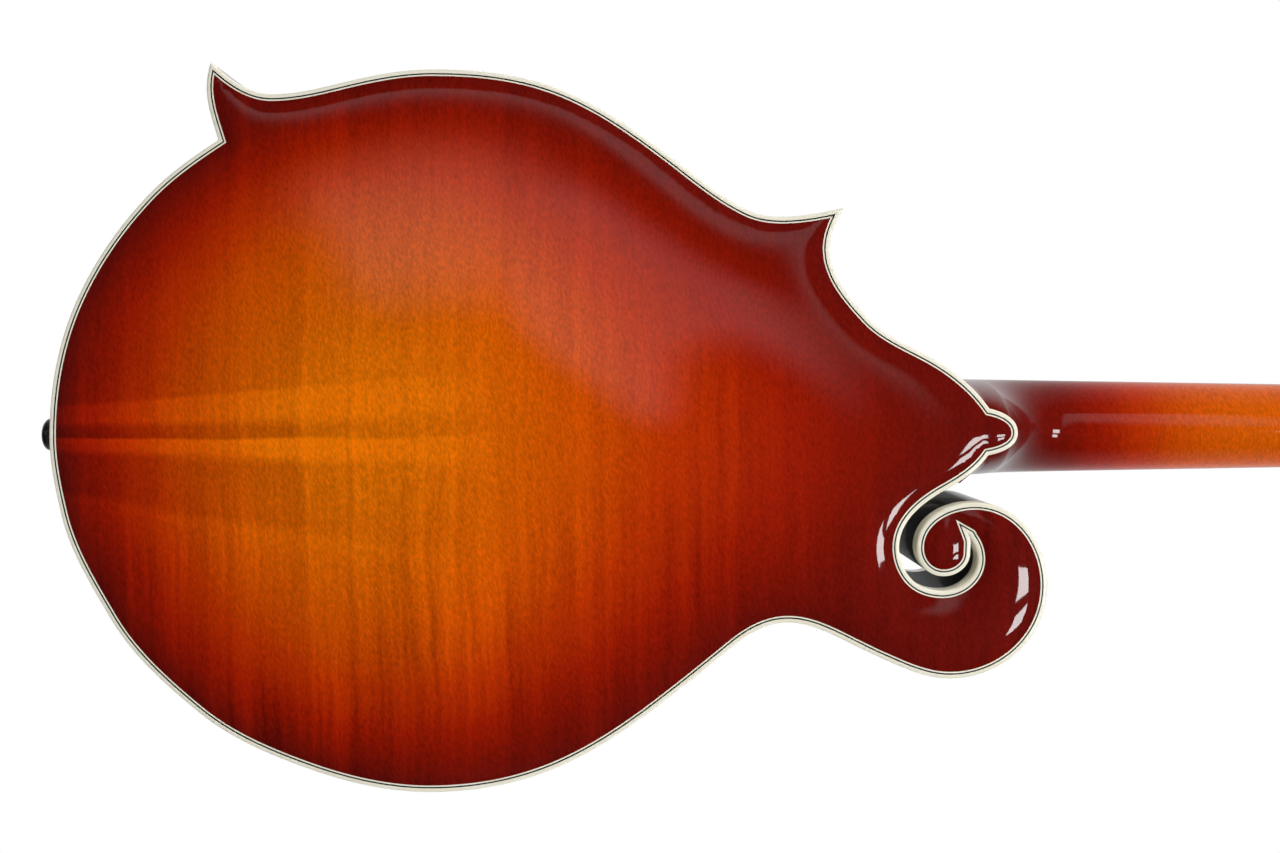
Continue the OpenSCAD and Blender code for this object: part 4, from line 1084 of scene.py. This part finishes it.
def build_tail_cover():
    """Pressed cover: rounded in plan and over its back, with soft edges and an open front."""
    def plan_half(x, half, radius):
        reach = x - COVER_BACK
        if reach >= radius:
            return half
        return half - radius + math.sqrt(max(0, radius**2 - (radius - reach) ** 2))

    def section(x, top, inset_by):
        foot = FACE_Z + 2 + 3.5 * (x - COVER_BACK) / 50
        half = plan_half(x, COVER_HALF_W, 9) - inset_by
        crown = FACE_Z + top - inset_by
        corner = 3.2 - inset_by
        ring = [(x, -half, foot)]
        for a in np.linspace(0, math.pi / 2, 9):
            ring.append((x, -half + corner * (1 - math.cos(a)), crown - corner * (1 - math.sin(a))))
        for share in np.linspace(-0.8, 0.8, 9):
            y = share * (half - corner)
            ring.append((x, y, crown))
        for a in np.linspace(math.pi / 2, 0, 9):
            ring.append((x, half - corner * (1 - math.cos(a)), crown - corner * (1 - math.sin(a))))
        ring.append((x, half, foot))
        return ring

    tops = [(-3.95, 6), (-3.8, 9.2), (-3.3, 10.9), (-2.4, 12.1), (-1, 13.1), (1, 13.9), (4, 14.7),
            (8, 15.3), (12, 15.8), (19, 16.4), (26, 16.8), (36, 17.6), (45.5, 18.35)]
    outer = [section(x, top, 0) for x, top in tops]
    inner = [section(max(x, -3 + 0.06 * k), top, COVER_WALL) for k, (x, top) in enumerate(tops)]
    n = len(outer[0])
    rings = outer + inner[::-1]
    points, faces = skin(rings, closed_round=False, caps=False)
    count = len(rings)
    for k in range(len(outer) - 1):
        for edge in (0, n - 1):
            a, b = k * n + edge, (k + 1) * n + edge
            c, d = (count - 2 - k) * n + edge, (count - 1 - k) * n + edge
            faces.append([a, b, c, d])
    lining = (count - 1) * n
    for i in range(n - 1):
        faces.append([i, i + 1, lining + i + 1, lining + i])
    piece("tail_cover_pressed", (points, faces), BENCH, nickel, body="tail_cover",
          stands_for=["tailpiece_cover"], smooth_angle=50)


def build_end_pin():
    profile = [(0, -19), (2.4, -19), (3.4, 1.6), (5.6, 1.6), (5.6, 2.8), (4.4, 3.6), (3.75, 4.6),
               (3.6, 5.6), (3.7, 6.8), (4.2, 7.9), (5.2, 8.8), (5.85, 9.4), (6, 10), (5.75, 10.7),
               (5.1, 11.3), (3.9, 11.75), (2.2, 12.1), (0, 12.2)]
    place = BENCH @ shift(0, 0, FACE_Z / 2) @ Matrix.Rotation(-math.pi / 2, 4, "Y")
    piece("end_pin_turned", turned(profile, 48), place, black_gloss, stands_for=["end_pin"],
          smooth_angle=40)


# ---- body, put together ---------------------------------------------------------------------------

def side_burst_and_slot_shade(points):
    """Burst of the sides: a little lighter along their middle, and deepened to black with painted
    shade inside the scroll's slot.
    """
    flat = points[:, :2]
    height = points[:, 2]
    middle = smoothly(8, 18, height) * (1 - smoothly(31, 41, height))
    # painted shade: in the slot's recess the -0.25 * slot below takes the dark red burst on to black
    slot = np.exp(-np.maximum(np.hypot(flat[:, 0] - 315, flat[:, 1] - 40) - 17.5, 0) / 2.5)
    tail_point = np.exp(-np.maximum(np.hypot(flat[:, 0] - 60, flat[:, 1] + 118) - 12, 0) / 8)
    return 0.34 * middle * (1 - slot) * (1 - tail_point) - 0.25 * slot


def build_body():
    carved_plate("back_carved", BACK_ARCH, -1, 0.0, maple, "back_plate")
    stop = np.array([[SHOULDER_X, y] for y in np.linspace(-16.9, 16.9, 15)])
    holes = [sound_hole(1), sound_hole(-1)]
    carved_plate("soundboard_carved", TOP_ARCH, 1, FACE_Z, spruce_top, "top_plate",
                 holes=holes, stop_line=stop)
    low, high = BINDING_H, FACE_Z - BINDING_H
    edge_strip("sides_bent", [(0, low), (0, high), (SIDE_T, high), (SIDE_T, low)], maple,
               "rim", gap=True, burst=side_burst_and_slot_shade)
    round_edge = [(0, 0.9), (0.07, 0.5), (0.27, 0.2), (0.6, 0.04), (1.0, 0)]
    section = [(BINDING_W, 0), (BINDING_W, BINDING_H), (0, BINDING_H)] + round_edge
    edge_strip("back_binding_scraped", section, ivory, "back_binding")
    section = [(d, FACE_Z - z) for d, z in section]
    edge_strip("top_binding_scraped", section, ivory, "top_binding", gap=True)
    for order, (tone, look, slot) in enumerate([("black", black_line, "black_line"),
                                                ("white", ivory, "ivory_binding")]):
        near, far = BINDING_W + order * LINE_W, BINDING_W + (order + 1) * LINE_W
        section = [(near, 0), (near, LINE_H), (far, LINE_H), (far, 0)]
        edge_strip(f"back_{tone}_inlay", section, look, f"back_line_{tone}")
        section = [(d, FACE_Z - z) for d, z in section]
        edge_strip(f"top_{tone}_inlay", section, look, f"top_line_{tone}", gap=True)


CARRIED = {
    "bare_maple": ["head_block", "tail_block", "point_blocks", "back_lining", "top_lining"],
    "bare_spruce": ["tone_bars"],
    "ivory": ["fingerboard_binding"],
    "ebony": ["fingerboard", "bridge_base", "bridge_saddle"],
    "fret_wire": ["frets"],
    "pearl": ["fret_markers"],
    "bone": ["nut"],
    "steel": ["truss_rod", "truss_cover_screws", "tailpiece_screws", "machine_screws"],
    "brass": ["truss_rod_nut", "bridge_posts", "thumbwheel_bass", "thumbwheel_treble"],
    "black_gloss": ["truss_rod_cover"],
    "nickel": ["tailpiece_base", "machine_plate_bass", "machine_plate_treble", "post_bushings"]
              + [f"string_post_{n}" for n in range(1, 9)],
}
LOOKS = {"bare_maple": bare_maple, "bare_spruce": bare_spruce, "ivory": ivory, "ebony": ebony,
         "fret_wire": fret_wire, "pearl": pearl, "bone": bone, "steel": steel, "brass": brass,
         "black_gloss": black_gloss, "nickel": nickel}
SOFT_EDGES = {"nut": 0.25, "bridge_base": 0.7, "bridge_saddle": 0.5, "fingerboard_binding": 0.2,
              "truss_rod_cover": 0.35, "tailpiece_base": 0.2, "machine_plate_bass": 0.18,
              "machine_plate_treble": 0.18, "thumbwheel_bass": 0.15, "thumbwheel_treble": 0.15,
              "truss_rod_nut": 0.15}


def dress_carried_nodes():
    for look, names in CARRIED.items():
        for name in names:
            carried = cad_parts[name]
            carried.data.materials.clear()
            carried.data.materials.append(LOOKS[look])
            for face in carried.data.polygons:
                face.use_smooth = True
            weld = carried.modifiers.new("joined_corners", "WELD")
            weld.merge_threshold = 1e-6
            if name in SOFT_EDGES:
                bevel = carried.modifiers.new("broken_edges", "BEVEL")
                bevel.width = SOFT_EDGES[name] * MM
                bevel.segments = 2
                bevel.limit_method = "ANGLE"
                bevel.angle_limit = math.radians(35)
                bevel.harden_normals = False


# ---- studio -----------------------------------------------------------------------------------------

def softbox(name, place, target, width, height, radiance, mirrored=False):
    lamp = bpy.data.lights.new(name, "AREA")
    lamp.shape, lamp.size, lamp.size_y = "RECTANGLE", width, height
    lamp.energy = radiance * math.pi * width * height
    holder = bpy.data.objects.new(name, lamp)
    scene.collection.objects.link(holder)
    holder.location = place
    aim = Vector(target) - Vector(place)
    holder.rotation_euler = aim.to_track_quat("-Z", "Y").to_euler()
    holder.visible_glossy = mirrored


def veil_strength(tree, parts):
    """A pale drape beyond the back's treble side, the soft sheen on the flank of the arch."""
    ahead = calc(tree, "MAXIMUM", parts[1], 0.05)
    across = calc(tree, "DIVIDE", parts[0], ahead)
    neckward = calc(tree, "DIVIDE", parts[2], ahead)
    hem = calc(tree, "MULTIPLY_ADD", eased(tree, neckward, 0.0, 0.29), -0.33, 0.4)
    over_hem = eased(tree, calc(tree, "SUBTRACT", across, hem), -0.14, 0.14)
    tail_end = eased(tree, neckward, -0.52, -0.28)
    neck_end = eased(tree, neckward, 0.36, 0.27)
    rail = eased(tree, across, 0.64, 0.56)
    before = eased(tree, parts[1], 0.55, 0.7)
    brightness = 0.62
    return product(tree, over_hem, tail_end, neck_end, rail, before, brightness)


def build_room():
    """White room with a dark side behind the camera, so that the lacquer stays clear."""
    world = bpy.data.worlds.new("studio")
    scene.world = world
    world.use_nodes = True
    tree = world.node_tree
    tree.nodes.clear()
    rays = node(tree, "LightPath").outputs
    parts = node(tree, "SeparateXYZ", {0: node(tree, "TexCoord").outputs["Generated"]}).outputs
    lit_side = spread(tree, parts[1], 0.55, -0.6, 0.008, 0.6)
    lit = calc(tree, "ADD", lit_side, veil_strength(tree, parts))
    walls = node(tree, "Background", {"Color": (1, 1, 1, 1), "Strength": lit})
    backdrop = node(tree, "Background", {"Color": (1, 1, 1, 1), "Strength": 1.0})
    picked = node(tree, "MixShader", {0: rays["Is Camera Ray"], 1: walls.outputs[0],
                                      2: backdrop.outputs[0]})
    node(tree, "OutputWorld", {"Surface": picked.outputs[0]})


def build_lights():
    """Softboxes, which the lacquer doesn't mirror, and two small windows, which it does."""
    middle, scroll = (0, 0, -0.3), (-0.05, 0, -0.19)
    softbox("side_light_high", (1.15, 0.75, 0.25), middle, 1.1, 1.1, 4.8)
    softbox("side_light_low", (-1.15, 0.75, -0.6), middle, 1.0, 1.2, 5.0)
    softbox("top_light", (0.0, 0.6, 1.3), middle, 1.2, 0.9, 3.2)
    softbox("window_light", (-0.2, 0.95, 0.31), scroll, 0.12, 0.2, 14.0, mirrored=True)
    softbox("window_pane", (-0.4, 0.95, 0.37), scroll, 0.13, 0.17, 14.0, mirrored=True)
    softbox("front_light_left", (-1.35, -0.95, -0.1), middle, 0.9, 1.1, 2.8)
    softbox("front_light_right", (1.0, -1.1, -0.1), middle, 0.7, 1.2, 2.4)


def build_floor():
    """Matt floor that brightens into the white backdrop a little way off."""
    pale = bpy.data.materials.new("studio_floor")
    pale.use_nodes = True
    tree = pale.node_tree
    tree.nodes.clear()
    at = node(tree, "TexCoord").outputs["Object"]
    parts = node(tree, "SeparateXYZ", {0: at}).outputs
    flat = node(tree, "CombineXYZ", {0: parts[0], 1: parts[1], 2: 0.0}).outputs[0]
    reach = node(tree, "VectorMath", {0: flat}, operation="LENGTH").outputs["Value"]
    fade = eased(tree, reach, 0.1, 0.25)
    rays = node(tree, "LightPath").outputs
    glow = spread(tree, rays["Is Camera Ray"], 0.0, 1.0, 0.02, 1.0)
    matt = node(tree, "BsdfDiffuse", {"Color": grey(0.82)})
    white = node(tree, "Emission", {"Color": (1, 1, 1, 1), "Strength": glow})
    picked = node(tree, "MixShader", {0: fade, 1: matt.outputs[0], 2: white.outputs[0]})
    node(tree, "OutputMaterial", {"Surface": picked.outputs[0]})
    bm = bmesh.new()
    bmesh.ops.create_grid(bm, x_segments=8, y_segments=8, size=1.6)
    mesh = bpy.data.meshes.new("floor")
    bm.to_mesh(mesh)
    bm.free()
    mesh.materials.append(pale)
    floor = bpy.data.objects.new("floor", mesh)
    floor.location = (0, 0, cad_box[0][2] - 0.14)
    scene.collection.objects.link(floor)
    floor.visible_glossy = False


def build_camera():
    """Straight on to the back, with the neck to the right."""
    lens = bpy.data.cameras.new("camera")
    lens.sensor_width, lens.lens = 36, 36
    lens.shift_x, lens.shift_y = 0.0156, -0.044
    camera = bpy.data.objects.new("camera", lens)
    scene.collection.objects.link(camera)
    place = BENCH @ Vector((201, -22.7, -450))
    right, up = Vector((0, 0, 1)), Vector((1, 0, 0))
    turn = Matrix((right, up, right.cross(up))).transposed()
    roll = Matrix.Rotation(math.radians(-0.3), 3, "Z")
    camera.matrix_world = Matrix.Translation(place) @ (turn @ roll).to_4x4()
    lens.clip_start, lens.clip_end = 0.01, 20
    scene.camera = camera


build_camera()
build_room()
build_lights()
build_floor()
build_body()
build_neck()
build_board_riser()
build_headstock()
build_headstock_face()
build_strings()
build_tuners()
build_tail_cover()
build_end_pin()
dress_carried_nodes()
scene.view_settings.view_transform = "Standard"
